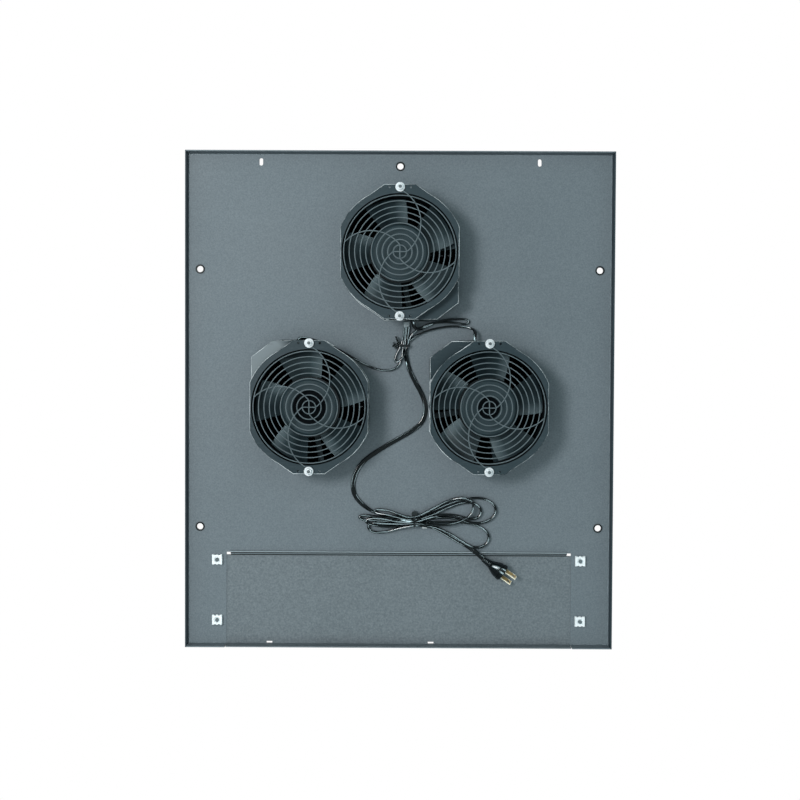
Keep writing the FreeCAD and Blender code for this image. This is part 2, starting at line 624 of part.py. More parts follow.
def spoke(centre, start, end, half, rise):
    """A flat bar bent to an arc."""
    edges, rims = [], []
    for offset in (half, -half):
        points = []
        for point in (start, end):
            ray = (point - centre).normalize()
            points.append(centre + ray * (size("spoke_round") + offset))
        middle = (points[0] + points[1]) * 0.5 - centre
        crown = centre + middle.normalize() * (size("spoke_round") + offset)
        rims.append(points)
        edges.append(Part.Arc(points[0], crown, points[1]).toShape())
    ends = [Part.LineSegment(rims[0][i], rims[1][i]).toShape() for i in (0, 1)]
    loop = Part.Wire(Part.__sortEdges__(edges + ends))
    return Part.Face(loop).extrude(UP * rise)


def fan_fixings():
    """Six long countersunk screws with washer-faced nuts on top of the guards."""
    screws, nuts = [], []
    foot = f"{TRAY_TOP} + fan_depth + guard_wire"
    for index, (x, y) in enumerate(BOLTS):
        head = cone(f"bolt_head_{index}", "bolt_head_round", "bolt_round",
                    "bolt_head_round - bolt_round", x, y, TRAY_BASE)
        shank = cylinder(f"bolt_shank_{index}", "bolt_round",
                         f"sheet_gauge + fan_depth + guard_wire + washer_rise + hex_rise "
                         f"+ bolt_past", x, y, TRAY_BASE)
        screws.append(fuse(f"bolt_{index}", head, shank))
        washer = cylinder(f"washer_{index}", "washer_round", "washer_rise", x, y, foot)
        hexagon = polygon_rod(f"hexagon_{index}", 6, "hex_round", "hex_rise", x, y,
                              f"{foot} + washer_rise")
        bore = cylinder(f"nut_bore_{index}", "bolt_round + thread_gap",
                        "washer_rise + hex_rise", x, y, foot)
        nuts.append(cut(f"washer_nut_{index}", fuse(f"nut_blank_{index}", washer, hexagon),
                        bore))
    node(group("fan_screws", *screws), "fan_screws")
    node(group("fan_nuts", *nuts), "fan_nuts")


def lead_plug(fan):
    """The moulded plug in a fan's socket, slotted for the two terminal blades."""
    middle = "-(socket_near + socket_length / 2)"
    body = block(f"lead_plug_body_{fan}", "socket_length - 2 * socket_play",
                 f"{EAR_REACH} - socket_floor + lead_plug_stand - socket_play",
                 "socket_rise - 2 * socket_play", middle,
                 f"({EAR_REACH} + lead_plug_stand + socket_floor + socket_play) / 2",
                 "socket_low + socket_play")
    slots = [block(f"plug_slot_{fan}_{side}", "pin_gauge + 2 * pin_play", "pin_reach + pin_play",
                   "pin_width + 2 * pin_play", f"{middle} + {side} * pin_pitch / 2",
                   "socket_floor + (pin_reach + pin_play) / 2",
                   "socket_low + (socket_rise - pin_width) / 2 - pin_play") for side in (-1, 1)]
    node(seat(cut(f"lead_plug_{fan}", body, *slots), fan), f"lead_plug_{fan}")
    pins = [block(f"pin_{fan}_{side}", "pin_gauge", "pin_reach", "pin_width",
                  f"{middle} + {side} * pin_pitch / 2", "socket_floor + pin_reach / 2",
                  "socket_low + (socket_rise - pin_width) / 2") for side in (-1, 1)]
    node(seat(group(f"terminal_pins_{fan}", *pins), fan), f"terminal_pins_{fan}")


# ---------------------------------------------------------------- cords

def route(points, limit):
    """Straight runs joined by tangent arcs, each as large as its two runs allow."""
    points = [Vector(*point) for point in points]
    edges, radii = [], []
    last = points[0]
    for before, corner, after in zip(points, points[1:], points[2:]):
        into, away = corner - before, after - corner
        shorter = min(into.Length, away.Length)
        reach = 0.45 * shorter
        radius = reach / math.tan(into.getAngle(away) / 2)
        start = corner - into.normalize() * reach
        end = corner + away.normalize() * reach
        inward = (start + end) * 0.5 - corner
        centre = corner + inward.normalize() * math.hypot(radius, reach)
        crown = centre + (corner - centre).normalize() * radius
        edges.append(Part.LineSegment(last, start).toShape())
        edges.append(Part.Arc(start, crown, end).toShape())
        radii.append(radius)
        last = end
    edges.append(Part.LineSegment(last, points[-1]).toShape())
    wire = Part.Wire(edges)
    print("length", round(wire.Length, 1), "radii", [round(r, 1) for r in radii],
          "least wanted", limit)
    return wire


def flat_cord(name, points, width, gauge, limit):
    """A two-core flat cord, drawn as one flat strip along its route."""
    wire = route(points, limit)
    start = Vector(*points[0])
    ahead = (Vector(*points[1]) - start).normalize()
    across = UP.cross(ahead).normalize() * (width / 2)
    over = ahead.cross(across).normalize() * (gauge / 2)
    corners = [start + across + over, start - across + over, start - across - over,
               start + across - over]
    maker = Part.BRepOffsetAPI.MakePipeShell(wire)
    maker.setBiNormalMode(UP)
    maker.add(Part.makePolygon(corners + corners[:1]))
    maker.build()
    maker.makeSolid()
    item = doc.addObject("Part::Feature", name)
    item.Shape = maker.shape()
    share = item.Shape.Volume / (wire.Length * width * gauge)
    print(name, "volume over section times length", round(share, 4))
    node(item, name)


CORD_Z = size("cord_rest") + size("cord_gauge") / 2
LEAD_Z = size("cord_rest") + size("lead_gauge") / 2
EXIT_Z = (size("cover_gauge") + size("sheet_gauge") + size("socket_low")
          + size("socket_rise") / 2)
EXIT_Y = size("bolt_reach") + size("ear_past") + size("lead_plug_stand")

SUPPLY_ROUTE = [(9.3, 57, CORD_Z), (10.7, 45, CORD_Z), (19.1, 26.5, CORD_Z),
                (29.6, 8.5, CORD_Z), (35.4, -10, CORD_Z), (31.1, -28.5, CORD_Z),
                (13.6, -42.1, CORD_Z), (-7.5, -53.6, CORD_Z), (-29, -66.7, CORD_Z),
                (-49.6, -81.7, CORD_Z), (-60.1, -101.8, CORD_Z), (-60.1, -122.9, CORD_Z),
                (-46.6, -138.5, CORD_Z), (-28.1, -149.1, CORD_Z)]
TAIL_ROUTE = [(44.2, -162.6, 9.0), (58.8, -172.1, 9.2), (75.4, -182.2, 9.5), (93.5, -192.3, 10.0)]
TOP_LEAD = [(18.2, 94.8, 14.6), (24.5, 91.9, 10.0), (34, 95.5, 6.2),
            (47, 102, LEAD_Z), (62, 106.6, LEAD_Z), (76, 107.8, LEAD_Z),
            (84.5, 108.8, LEAD_Z), (91.2, 107.2, LEAD_Z), (91.5, 101.4, LEAD_Z),
            (84.5, 100.2, LEAD_Z), (74, 101.2, LEAD_Z), (60, 100.6, LEAD_Z),
            (45, 96.6, 5.2), (28, 90.1, 8.6), (13.6, 87.1, 9.4)]
RIGHT_LEAD = [(97.4, 83.3, 16.4), (97.5, 89.7, 13.2), (91.5, 92.7, 8.8),
              (82, 93.2, 5.8), (66, 93.6, LEAD_Z), (48, 90, LEAD_Z),
              (30.1, 83, LEAD_Z), (13.6, 79, 5.2)]
LEFT_LEAD = [(-130.4, 86.3, 15.8), (-121.9, 90.8, 12.4), (-109.9, 87.7, 9.8),
             (-96.4, 79.7, 8.6), (-82.9, 70.5, 8.3), (-67.4, 60.5, 8.0), (-52, 51.2, 7.6),
             (-37, 43.3, LEAD_Z), (-22, 38.6, LEAD_Z), (-8.9, 39.4, LEAD_Z),
             (-0.2, 44.2, LEAD_Z), (2.4, 50.5, LEAD_Z), (2.4, 57, LEAD_Z)]


def lead(fan, points):
    turn = 180 if TURN_OF[fan] == "180" else 0
    sign = -1 if turn else 1
    x = evaluate(FAN_X[fan]) - sign * size("lead_exit")
    y = evaluate(FAN_Y[fan]) + sign * EXIT_Y
    flat_cord(f"fan_lead_{fan}", [(x, y, EXIT_Z)] + points, size("lead_width"),
              size("lead_gauge"), 3 * size("lead_width"))


def supply_cord():
    flat_cord("supply_cord", SUPPLY_ROUTE, size("cord_width"), size("cord_gauge"),
              5 * size("cord_width"))
    along = Rotation(UP, size("plug_turn")).multVec(Vector(1, 0, 0))
    gate = Vector(size("plug_x"), size("plug_y"), size("cover_gauge") + size("plug_gauge") / 2)
    end = gate - along * size("relief_length")
    before = end - along * size("relief_length")
    points = TAIL_ROUTE + [tuple(before), tuple(end)]
    flat_cord("supply_cord_tail", points, size("cord_width"), size("cord_gauge"),
              5 * size("cord_width"))


BUNDLE_WAIST = (0.5, 12.1)
BUNDLE_TIE_Y = 71.1
SPLICE_EDGE = [(4.3, 102.6), (13.9, 102.6), (12.5, 95.4), (5.1, 95.4)]


def lead_bundle():
    """The gathered leads, one closed form, with their tie and the joint above it."""
    base = size("cord_rest") + size("bundle_lift")
    low, high = BUNDLE_WAIST
    outer = [(3.6, 95.2), (11.6, 95.2), (13.6, 91.1), (13.6, 76.1), (high, 74.1), (high, 68.1),
             (12.4, 57.1), (-0.5, 57.1), (-1.1, 49.6), (-5.5, 49.6), (-5.7, 59.1), (low, 68.1),
             (low, 74.1), (2.6, 85.1)]
    node(plate("lead_bundle", outer, size("bundle_rise"), base), "lead_bundle")
    tie("bundle_tie", BUNDLE_WAIST, (0, BUNDLE_TIE_Y), base, size("bundle_rise"), along="y")
    node(plate("lead_splice", SPLICE_EDGE, size("splice_rise"), size("cord_rest")),
         "lead_splice")


def tie(name, span, middle, base, rise, along, extras=()):
    """A strap round a bundle: a frame with named play and gauge."""
    play, gauge, width = size("tie_play"), size("tie_gauge"), size("tie_width")
    low, high = span[0] - play, span[1] + play
    inner = (high - low, width, rise + 2 * play)
    outer = (inner[0] + 2 * gauge, width, inner[2] + 2 * gauge)
    loops = []
    for length, depth, height in (outer, inner):
        corner = Vector(-length / 2, -depth / 2, -height / 2)
        loops.append(Part.makeBox(length, depth, height, corner))
    strap = loops[0].cut(loops[1])
    if along == "x":
        strap.rotate(Vector(), UP, 90)
        strap.translate(Vector(middle[0], (low + high) / 2, base + rise / 2))
    else:
        strap.translate(Vector((low + high) / 2, middle[1], base + rise / 2))
    item = doc.addObject("Part::Feature", name)
    item.Shape = strap.fuse(list(extras)) if extras else strap
    node(item, name)


HANK_EDGE = [(-49.1, -152.5), (-35.1, -146.5), (-12, -144), (10.1, -148.5), (30.2, -148), (52.2, -135.9),
             (76.3, -126.4), (104.4, -124.9), (121.5, -131.4), (128, -142.5), (122, -153.1),
             (113, -160.1), (119, -170.7), (117.6, -183.8), (106.5, -192.7), (92.5, -190.8),
             (72.4, -179.7), (48.2, -167.2), (28.2, -166.6), (4.1, -168.2), (-18, -174.7), (-33.1, -172.7),
             (-40.1, -161.6)]
HANK_TIE_X = 20.5
HANK_WAIST = (-163.4, -152.0)
WAIST_ROOM = 40.0
HANK_CORE = [(-38.1, -153.5), (-20, -148.5), (6.1, -151.5), (36.2, -149.5), (58.3, -141.5), (76.3, -138.5),
             (86.4, -144.5), (76.3, -153.6), (52.2, -160.1), (36.2, -163.6), (6.1, -164.6), (-20, -169.7),
             (-36.1, -163.6)]


def cord_hank():
    """The folded and tied spare length, as its outer form: wide loops under a core."""
    base = size("cord_rest") + size("bundle_lift")
    wide = plate("hank_loops", HANK_EDGE, size("hank_plate_rise"), base)
    core = plate("hank_strands", HANK_CORE, size("hank_core_rise"), base)
    sides = []
    for edge, away, held in ((HANK_WAIST[0], -1, size("tie_width")),
                             (HANK_WAIST[1], 1, 2 * size("tie_head_round"))):
        room = held + 2 * size("tie_side_play")
        corner = Vector(HANK_TIE_X - room / 2, edge, base)
        sides.append(Part.makeBox(room, WAIST_ROOM, size("hank_core_rise"),
                                  corner + Vector(0, min(away, 0) * WAIST_ROOM, 0)))
    item = doc.addObject("Part::Feature", "cord_hank")
    item.Shape = wide.Shape.fuse(core.Shape).cut(sides)
    node(item, "cord_hank")
    head = Part.makeCylinder(size("tie_head_round"), size("tie_head_rise"),
                             Vector(HANK_TIE_X, HANK_WAIST[1] + size("tie_head_round"), base))
    tie("hank_tie", HANK_WAIST, (HANK_TIE_X, 0), base, size("hank_core_rise"), "x", [head])
    tab = block("hank_tie_tab", "tab_length", "tab_width", "tab_gauge", "33.7", "-165.1",
                "cord_rest")
    node(tab, "hank_tie_tab")


def plug():
    """The two-blade supply plug, lying on the cover plate."""
    at = ("plug_x", "plug_y", "cover_gauge + plug_gauge / 2")
    body = doc.addObject("Part::Wedge", "plug_form")
    half, thick = "plug_width / 2", "plug_gauge / 2"
    bind(body, Xmin="-plug_neck / 2", Xmax="plug_neck / 2", X2min=f"-{half}", X2max=half,
         Ymin="0", Ymax="plug_length - plug_rim", Zmin="-plug_neck / 2", Zmax="plug_neck / 2",
         Z2min=f"-{thick}", Z2max=thick)
    face = block("plug_face_block", "plug_width", "plug_rim", "plug_gauge", "0",
                 "plug_length - plug_rim / 2", f"-{thick}")
    pins = [block(f"blade_pin_{side}", "blade_pin_gauge", "blade_pin_reach + blade_pin_root",
                  "blade_pin_width", f"{side} * blade_pin_pitch / 2",
                  "plug_length + (blade_pin_reach - blade_pin_root) / 2",
                  "-blade_pin_width / 2") for side in (-1, 1)]
    rooms = [block(f"pin_room_{side}", "blade_pin_gauge + 2 * pin_seat", "blade_pin_root",
                   "blade_pin_width + 2 * pin_seat", f"{side} * blade_pin_pitch / 2",
                   "plug_length - blade_pin_root / 2", "-blade_pin_width / 2 - pin_seat")
             for side in (-1, 1)]
    shell = cut("plug_body", fuse("plug_blank", body, face), *rooms)
    node(place(shell, *at, "plug_turn - 90"), "plug_body")
    node(place(group("plug_blades", *pins), *at, "plug_turn - 90"), "plug_blades")
    relief = doc.addObject("Part::Wedge", "strain_relief")
    thin, wide = "relief_thin / 2", "relief_thick / 2"
    bind(relief, Xmin=f"-{thin}", Xmax=thin, X2min=f"-{wide}", X2max=wide,
         Ymin="-relief_length", Ymax="0", Zmin=f"-{thin} + relief_bevel",
         Zmax=f"{thin} - relief_bevel",
         Z2min=f"-{wide}", Z2max=wide)
    node(place(relief, *at, "plug_turn - 90"), "plug_strain_relief")


# ---------------------------------------------------------------- the whole part

fan_panel()
fixing_bushes()
cable_cover_plate()
cover_fixings()
for name in FANS:
    fan_frame(name)
    motor(name)
    finger_guard(name)
    lead_plug(name)
for name, first_blade in (("top", 30.0), ("left", 25.0), ("right", 12.0)):
    impeller(name, first_blade)
hub_disc("left", "left_disc_round")
hub_disc("right", "right_disc_round")
motor_bearings()
fan_fixings()
lead("top", TOP_LEAD)
lead("right", RIGHT_LEAD)
lead("left", LEFT_LEAD)
supply_cord()
lead_bundle()
cord_hank()
plug()

doc.recompute()
for item in doc.Objects:
    if "Invalid" in item.State or "Error" in item.State:
        raise RuntimeError(f"{item.Name} failed to build")
os.makedirs("parts", exist_ok=True)
for item in NODES:
    if item.Shape.isNull() or not item.Shape.isValid():
        raise RuntimeError(f"{item.Label} has no valid shape")
    item.Shape.exportStep(f"parts/{item.Label}.step")
print(len(NODES), "sub-parts")
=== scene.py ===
"""The dressed rack fan tray: an enamelled steel top with three guarded fans, their leads,
a screwed cover plate and the tied supply cord.  Metres, in the part's own frame."""
import json
import math

import bmesh
import bpy
from mathutils import Matrix, Vector

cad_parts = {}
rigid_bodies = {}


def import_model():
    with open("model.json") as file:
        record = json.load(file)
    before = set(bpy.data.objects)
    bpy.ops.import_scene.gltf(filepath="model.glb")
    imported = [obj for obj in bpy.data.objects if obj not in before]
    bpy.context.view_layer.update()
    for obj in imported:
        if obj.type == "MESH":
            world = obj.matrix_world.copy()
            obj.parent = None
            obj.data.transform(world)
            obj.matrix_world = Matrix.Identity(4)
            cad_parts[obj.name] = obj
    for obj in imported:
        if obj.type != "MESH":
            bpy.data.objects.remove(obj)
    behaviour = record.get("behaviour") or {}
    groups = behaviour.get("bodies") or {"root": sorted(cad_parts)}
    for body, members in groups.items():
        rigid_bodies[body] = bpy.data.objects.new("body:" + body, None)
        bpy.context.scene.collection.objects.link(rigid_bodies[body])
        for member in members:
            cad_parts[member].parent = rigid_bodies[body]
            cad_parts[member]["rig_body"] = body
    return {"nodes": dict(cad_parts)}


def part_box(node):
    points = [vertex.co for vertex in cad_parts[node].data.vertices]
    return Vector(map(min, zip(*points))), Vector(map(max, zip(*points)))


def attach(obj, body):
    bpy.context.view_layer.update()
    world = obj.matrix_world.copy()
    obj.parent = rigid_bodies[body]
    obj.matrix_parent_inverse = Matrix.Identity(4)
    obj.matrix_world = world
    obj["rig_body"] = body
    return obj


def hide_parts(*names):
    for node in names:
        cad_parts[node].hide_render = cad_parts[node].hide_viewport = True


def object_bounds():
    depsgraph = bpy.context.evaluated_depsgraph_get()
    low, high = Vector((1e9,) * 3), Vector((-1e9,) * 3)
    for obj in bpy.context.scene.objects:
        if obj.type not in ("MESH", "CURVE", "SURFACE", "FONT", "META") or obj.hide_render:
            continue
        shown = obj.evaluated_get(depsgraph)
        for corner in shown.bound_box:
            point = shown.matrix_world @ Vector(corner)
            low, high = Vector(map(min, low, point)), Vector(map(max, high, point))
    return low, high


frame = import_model()
CAD_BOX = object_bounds()
MM = 0.001
FANS = ("top", "left", "right")


def centre_of(node):
    low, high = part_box(node)
    return (low + high) / 2


AXIS = {fan: centre_of(f"rotor_cup_{fan}") for fan in FANS}
FRAME_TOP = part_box("fan_frame_top")[1].z
NUT_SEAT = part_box("fan_nuts")[0].z


# ---- node trees

class Graph:
    """A node tree that is being drawn: nodes are added and sockets are joined."""

    def __init__(self, tree):
        self.tree = tree

    def add(self, kind, **settings):
        node = self.tree.nodes.new(kind)
        for name, value in settings.items():
            setattr(node, name, value)
        return node

    def join(self, source, target):
        self.tree.links.new(source, target)

    def give(self, socket, value):
        """Joins a socket to its source, or sets it to a plain value."""
        if isinstance(value, bpy.types.NodeSocket):
            self.join(value, socket)
        else:
            socket.default_value = value

    def feed(self, node, **inputs):
        """Gives a node its inputs by name, with _ for a space."""
        for name, value in inputs.items():
            self.give(node.inputs[name.replace("_", " ")], value)
        return node

    def put(self, kind, **inputs):
        """A new node with its inputs given; its outputs."""
        return self.feed(self.add(kind), **inputs).outputs

    def ordered(self, node, *values):
        """Gives a node its first inputs in their order."""
        for socket, value in zip(node.inputs, values):
            self.give(socket, value)
        return node.outputs

    def maths(self, operation, first, second=0.0):
        return self.ordered(self.add("ShaderNodeMath", operation=operation), first, second)[0]

    def times(self, first, second):
        return self.maths("MULTIPLY", first, second)

    def vectors(self, operation, first, second):
        node = self.add("ShaderNodeVectorMath", operation=operation)
        return self.ordered(node, first, second)

    def apart(self, vector):
        """The three parts of a vector."""
        return self.put("ShaderNodeSeparateXYZ", Vector=vector)

    def triple(self, **parts):
        return self.put("ShaderNodeCombineXYZ", **parts)[0]

    def remap(self, value, low, high, first=0.0, last=1.0):
        """A value carried from one range to another, and held at its ends."""
        return self.put("ShaderNodeMapRange", Value=value, From_Min=low, From_Max=high,
                        To_Min=first, To_Max=last)[0]

    def mix(self, share, under, over):
        node = self.add("ShaderNodeMix", data_type="RGBA")
        for index, value in ((0, share), (6, under), (7, over)):
            self.give(node.inputs[index], value)
        return node.outputs[2]

    def beyond(self, value, limit):
        """Whether a value lies further from nought than a limit, on either side."""
        return self.maths("GREATER_THAN", self.maths("ABSOLUTE", value), limit)

    def places(self):
        return self.add("ShaderNodeTexCoord").outputs["Object"]


def tint(red, green, blue):
    """A paint's colour, from the three numbers of a colour card."""
    def straight(value):
        value /= 255
        return value / 12.92 if value <= 0.04045 else ((value + 0.055) / 1.055) ** 2.4
    return (straight(red), straight(green), straight(blue), 1.0)


# ---- shader groups

SORTS = {int: "Int", float: "Float", tuple: "Color"}


def new_tree(name, kind, inputs, outputs):
    """A node tree: its graph, and the sockets of its inputs and its results.

    An input is given by its first value, or by its sort where it has none."""
    tree = bpy.data.node_groups.new(name, kind)
    for label, value in inputs.items():
        sort = SORTS.get(type(value), value)
        socket = tree.interface.new_socket(label, in_out="INPUT", socket_type="NodeSocket" + sort)
        if sort != value:
            socket.default_value = value
    for label, sort in outputs.items():
        tree.interface.new_socket(label, in_out="OUTPUT", socket_type="NodeSocket" + sort)
    graph = Graph(tree)
    return graph, graph.add("NodeGroupInput").outputs, graph.add("NodeGroupOutput").inputs


def make_grain():
    """Orange peel and flecks of a sprayed or powdered coat."""
    graph, given, result = new_tree(
        "coat grain", "ShaderNodeTree",
        {"Light": tint(130, 130, 130), "Dark": tint(90, 90, 90), "Grain": 900.0, "Cloud": 7.0,
         "Cloud Share": 0.35}, {"Colour": "Color", "Height": "Float", "Cloud": "Float"})
    place = graph.places()
    fine = graph.put("ShaderNodeTexNoise", Vector=place, Scale=given["Grain"], Detail=3.0,
                     Roughness=0.6)["Fac"]
    wide = graph.put("ShaderNodeTexNoise", Vector=place, Scale=given["Cloud"], Detail=4.0,
                     Roughness=0.55)["Fac"]
    spread = graph.times(graph.maths("SUBTRACT", wide, 0.5), given["Cloud Share"])
    share = graph.maths("ADD", fine, spread)
    graph.join(graph.mix(share, given["Dark"], given["Light"]), result["Colour"])
    graph.join(fine, result["Height"])
    graph.join(wide, result["Cloud"])
    return graph.tree


def make_scuff():
    """Fine rubbed streaks and dust, as a mask from 0 to 1."""
    graph, given, result = new_tree("scuffs", "ShaderNodeTree",
                                    {"Size": 60.0, "Stretch": 12.0, "Amount": 0.5},
                                    {"Mask": "Float"})
    stretch = graph.triple(X=1.0, Y=given["Stretch"], Z=given["Stretch"])
    turned = graph.put("ShaderNodeMapping", Vector=graph.places(), Rotation=STREAK_TURN,
                       Scale=stretch)[0]
    noise = graph.put("ShaderNodeTexNoise", Vector=turned, Scale=given["Size"], Detail=5.0,
                      Roughness=0.7)["Fac"]
    graph.join(graph.remap(noise, 0.55, 0.75, last=given["Amount"]), result["Mask"])
    return graph.tree


STREAK_TURN = (0.3, 0.2, 0.7)
COAT_GRAIN = make_grain()
SCUFFS = make_scuff()


# ---- materials

def blank(name, rough, metal=0.0):
    """A new material, its graph and its surface shader."""
    material = bpy.data.materials.new(name)
    material.use_nodes = True
    graph = Graph(material.node_tree)
    surface = material.node_tree.nodes["Principled BSDF"]
    return material, graph, graph.feed(surface, Roughness=rough, Metallic=metal)


def scuffed(graph, size, stretch, amount):
    """A mask of rubbed streaks."""
    marks = graph.add("ShaderNodeGroup", node_tree=SCUFFS)
    return graph.feed(marks, Size=size, Stretch=stretch, Amount=amount).outputs["Mask"]


def coated(name, light, dark, grain, depth, rough=(0.42, 0.62), cloud=7.0, metal=0.0,
           scuff=None, patchy=0.35, sheen=0.5):
    """A sprayed coat: grain in its colour and surface, clouds in its gloss, a few scuffs."""
    material, graph, surface = blank(name, rough[0], metal)
    coat = graph.feed(graph.add("ShaderNodeGroup", node_tree=COAT_GRAIN), Light=tint(*light),
                      Dark=tint(*dark), Grain=grain, Cloud=cloud, Cloud_Share=patchy).outputs
    colour = coat["Colour"]
    if scuff is not None:
        colour = graph.mix(scuffed(graph, *scuff[:3]), colour, tint(*scuff[3]))
    peel = graph.put("ShaderNodeBump", Strength=0.5, Distance=depth, Height=coat["Height"])
    graph.feed(surface, Specular_IOR_Level=sheen, Base_Color=colour, Normal=peel["Normal"],
               Roughness=graph.remap(coat["Cloud"], 0.3, 0.7, *rough))
    return material


FINISHES = {
    "tray": coated("tray enamel", (120, 129, 135), (76, 85, 91), 560, 0.00009, sheen=0.2,
                   scuff=(14, 3, 0.12, (124, 132, 137))),
    "cover": coated("cover texture coat", (126, 134, 139), (62, 70, 75), 430, 0.00018,
                    rough=(0.5, 0.7), sheen=0.25),
    "casting": coated("casting paint", (36, 53, 60), (19, 34, 40), 700, 0.00008, sheen=0.2,
                      rough=(0.35, 0.5), scuff=(40, 6, 0.2, (96, 106, 110))),
    "rotor": coated("rotor paint", (48, 62, 67), (34, 47, 52), 800, 0.00006, sheen=0.12,
                    rough=(0.4, 0.55)),
    "disc": coated("disc foil", (8, 12, 16), (3, 6, 9), 500, 0.00003, sheen=0.02,
                   rough=(0.3, 0.45)),
    # Painted shade for the fans' throats and for the ring at the blades' roots.
    "throat": coated("painted throat shade", (14, 20, 23), (5, 9, 11), 700, 0.00004, sheen=0.1),
    # Worn paint on broken edges, lightened as a painted highlight.
    "worn_and_highlight": coated("worn edge with painted highlight", (226, 233, 236), (44, 56, 60), 300, 0.00003,
                   rough=(0.25, 0.4), cloud=30.0, patchy=3.0),
    "bush": coated("bush black", (14, 20, 22), (5, 8, 10), 500, 0.00003, sheen=0.15,
                   rough=(0.4, 0.5)),
    "strap": coated("strap black", (16, 22, 24), (6, 10, 12), 600, 0.00004,
                    rough=(0.2, 0.32)),
    "cage": coated("cage zinc", (250, 252, 253), (228, 233, 235), 500, 0.00004,
                   rough=(0.4, 0.55)),
    "wire": coated("guard enamel", (98, 110, 115), (74, 86, 91), 900, 0.00003,
                   rough=(0.3, 0.4)),
    "zinc": coated("bright zinc", (236, 238, 240), (198, 203, 206), 500, 0.00004,
                   rough=(0.22, 0.4), cloud=300.0, metal=0.15),
    "screw": coated("screw steel", (92, 98, 100), (58, 64, 66), 900, 0.00006,
                    rough=(0.3, 0.5), metal=0.2),
    "core": coated("lamination steel", (96, 92, 88), (60, 56, 52), 1500, 0.0001,
                   rough=(0.5, 0.7), metal=0.6),
    "cord": coated("cord vinyl", (12, 18, 20), (4, 8, 10), 700, 0.00002, sheen=1.0,
                   rough=(0.07, 0.12)),
    "moulding": coated("plug vinyl", (12, 18, 20), (4, 8, 10), 900, 0.00003, sheen=0.6,
                       rough=(0.16, 0.24)),
    "sleeve": coated("splice sleeve", (146, 156, 160), (104, 114, 118), 500, 0.00008),
    "white": coated("white nylon", (240, 241, 240), (214, 217, 217), 600, 0.00003,
                    rough=(0.3, 0.4)),
    "gilt": coated("blade gilt", (206, 178, 124), (150, 124, 78), 400, 0.00004,
                   rough=(0.25, 0.4), cloud=140.0, metal=0.3),
    # Brass paled towards white as a painted highlight; gilt is the brass's own gold.
    "brass": coated("blade brass with painted highlight", (255, 253, 240), (246, 232, 196), 400, 0.00004,
                    rough=(0.22, 0.36), cloud=140.0),
}


def overlay(finish):
    """The graph of a finish, its colour's socket, its colour so far, its points' places."""
    material = FINISHES[finish]
    graph = Graph(material.node_tree)
    surface = material.node_tree.nodes["Principled BSDF"].inputs["Base Color"]
    return graph, surface, surface.links[0].from_socket, graph.places()


# Painted shade and painted highlight for the lips at the notch's seam.
LIP_HALF, LIP_GAUGE, LIP_EASE = 0.2235, 0.0015, 0.0001
LIP_FOOT = {"tray": 0.0031, "cover": 0.0014}
LIP_PAINTED_SHADE = tint(14, 18, 20)
LIP_PAINTED_HIGHLIGHT = {"tray": tint(150, 162, 168), "cover": tint(104, 114, 120)}
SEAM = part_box("cable_cover_plate")[1].y


def lip_painted_light(finish, front, top, foot, bright):
    """Painted light on a lip at the notch: a painted highlight on its cut top, over painted shade
    on its wall and foot.
    """
    graph, surface, colour, place = overlay(finish)
    across, along, rise = graph.apart(place)
    inside = graph.maths("LESS_THAN", graph.maths("ABSOLUTE", across), LIP_HALF)

    def between(value, low, high):
        return graph.times(graph.maths("GREATER_THAN", value, low),
                           graph.maths("LESS_THAN", value, high))

    shade = graph.times(between(along, front - LIP_GAUGE - foot, front + LIP_EASE),
                        between(rise, LIP_FOOT[finish], top + LIP_EASE))
    colour = graph.mix(graph.times(shade, inside), colour, LIP_PAINTED_SHADE)
    # the painted highlight along the lip's cut top
    edge = graph.times(between(along, front - bright[1], front - bright[0]),
                       graph.maths("GREATER_THAN", rise, top - LIP_EASE))
    edge = graph.times(edge, inside)
    graph.join(graph.mix(edge, colour, LIP_PAINTED_HIGHLIGHT[finish]), surface)


BLADES, BLADE_LEAD = 5, {"top": 30, "left": 25, "right": 12}
# Painted shade and painted highlight across each blade.
BLADE_PAINTED_SHADE, BLADE_PAINTED_HIGHLIGHT = tint(8, 20, 25), tint(118, 134, 140)


def blade_paint_and_painted_light(fan):
    """Blade paint with painted light: a painted highlight at each blade's leading edge, and
    painted shade darkening it to the edge that faces away.
    """
    name = f"blade_{fan}"
    FINISHES[name] = coated(f"blade paint and painted light {fan}", (66, 82, 87), (40, 55, 60), 600, 0.00006,
                            sheen=0.3, rough=(0.26, 0.4))
    graph, surface, colour, place = overlay(name)
    x, y, _ = graph.apart(graph.vectors("SUBTRACT", place, AXIS[fan])[0])
    pitch = math.tau / BLADES
    turned = graph.maths("SUBTRACT", graph.maths("ARCTAN2", y, x),
                         math.radians(BLADE_LEAD[fan]) - pitch / 2)
    share = graph.maths("FRACT", graph.maths("DIVIDE", turned, pitch))
    colour = graph.mix(graph.remap(share, 0.25, 0.65, last=0.85), colour, BLADE_PAINTED_SHADE)
    painted_highlight = graph.remap(share, 0.42, 0.15, last=0.75)
    graph.join(graph.mix(painted_highlight, colour, BLADE_PAINTED_HIGHLIGHT), surface)


# Painted shade on the side rims.
RIM_FROM, RIM_PAINTED_SHADE = Vector((CAD_BOX[1].x - 0.0017, 0.0045)), tint(42, 55, 62)


def painted_rim_shade():
    """The side rims, darkened by painted shade against the rest of the sheet."""
    graph, surface, colour, place = overlay("tray")
    across, _, rise = graph.apart(place)
    high = graph.maths("GREATER_THAN", rise, RIM_FROM.y)
    rim = graph.times(graph.beyond(across, RIM_FROM.x), high)
    graph.join(graph.mix(rim, colour, RIM_PAINTED_SHADE), surface)


RUB_REACH, CORNER_DROP = (0.026, 0.040), 0.002
RUB_PALE, RUB_STREAK = tint(112, 121, 125), tint(72, 82, 86)


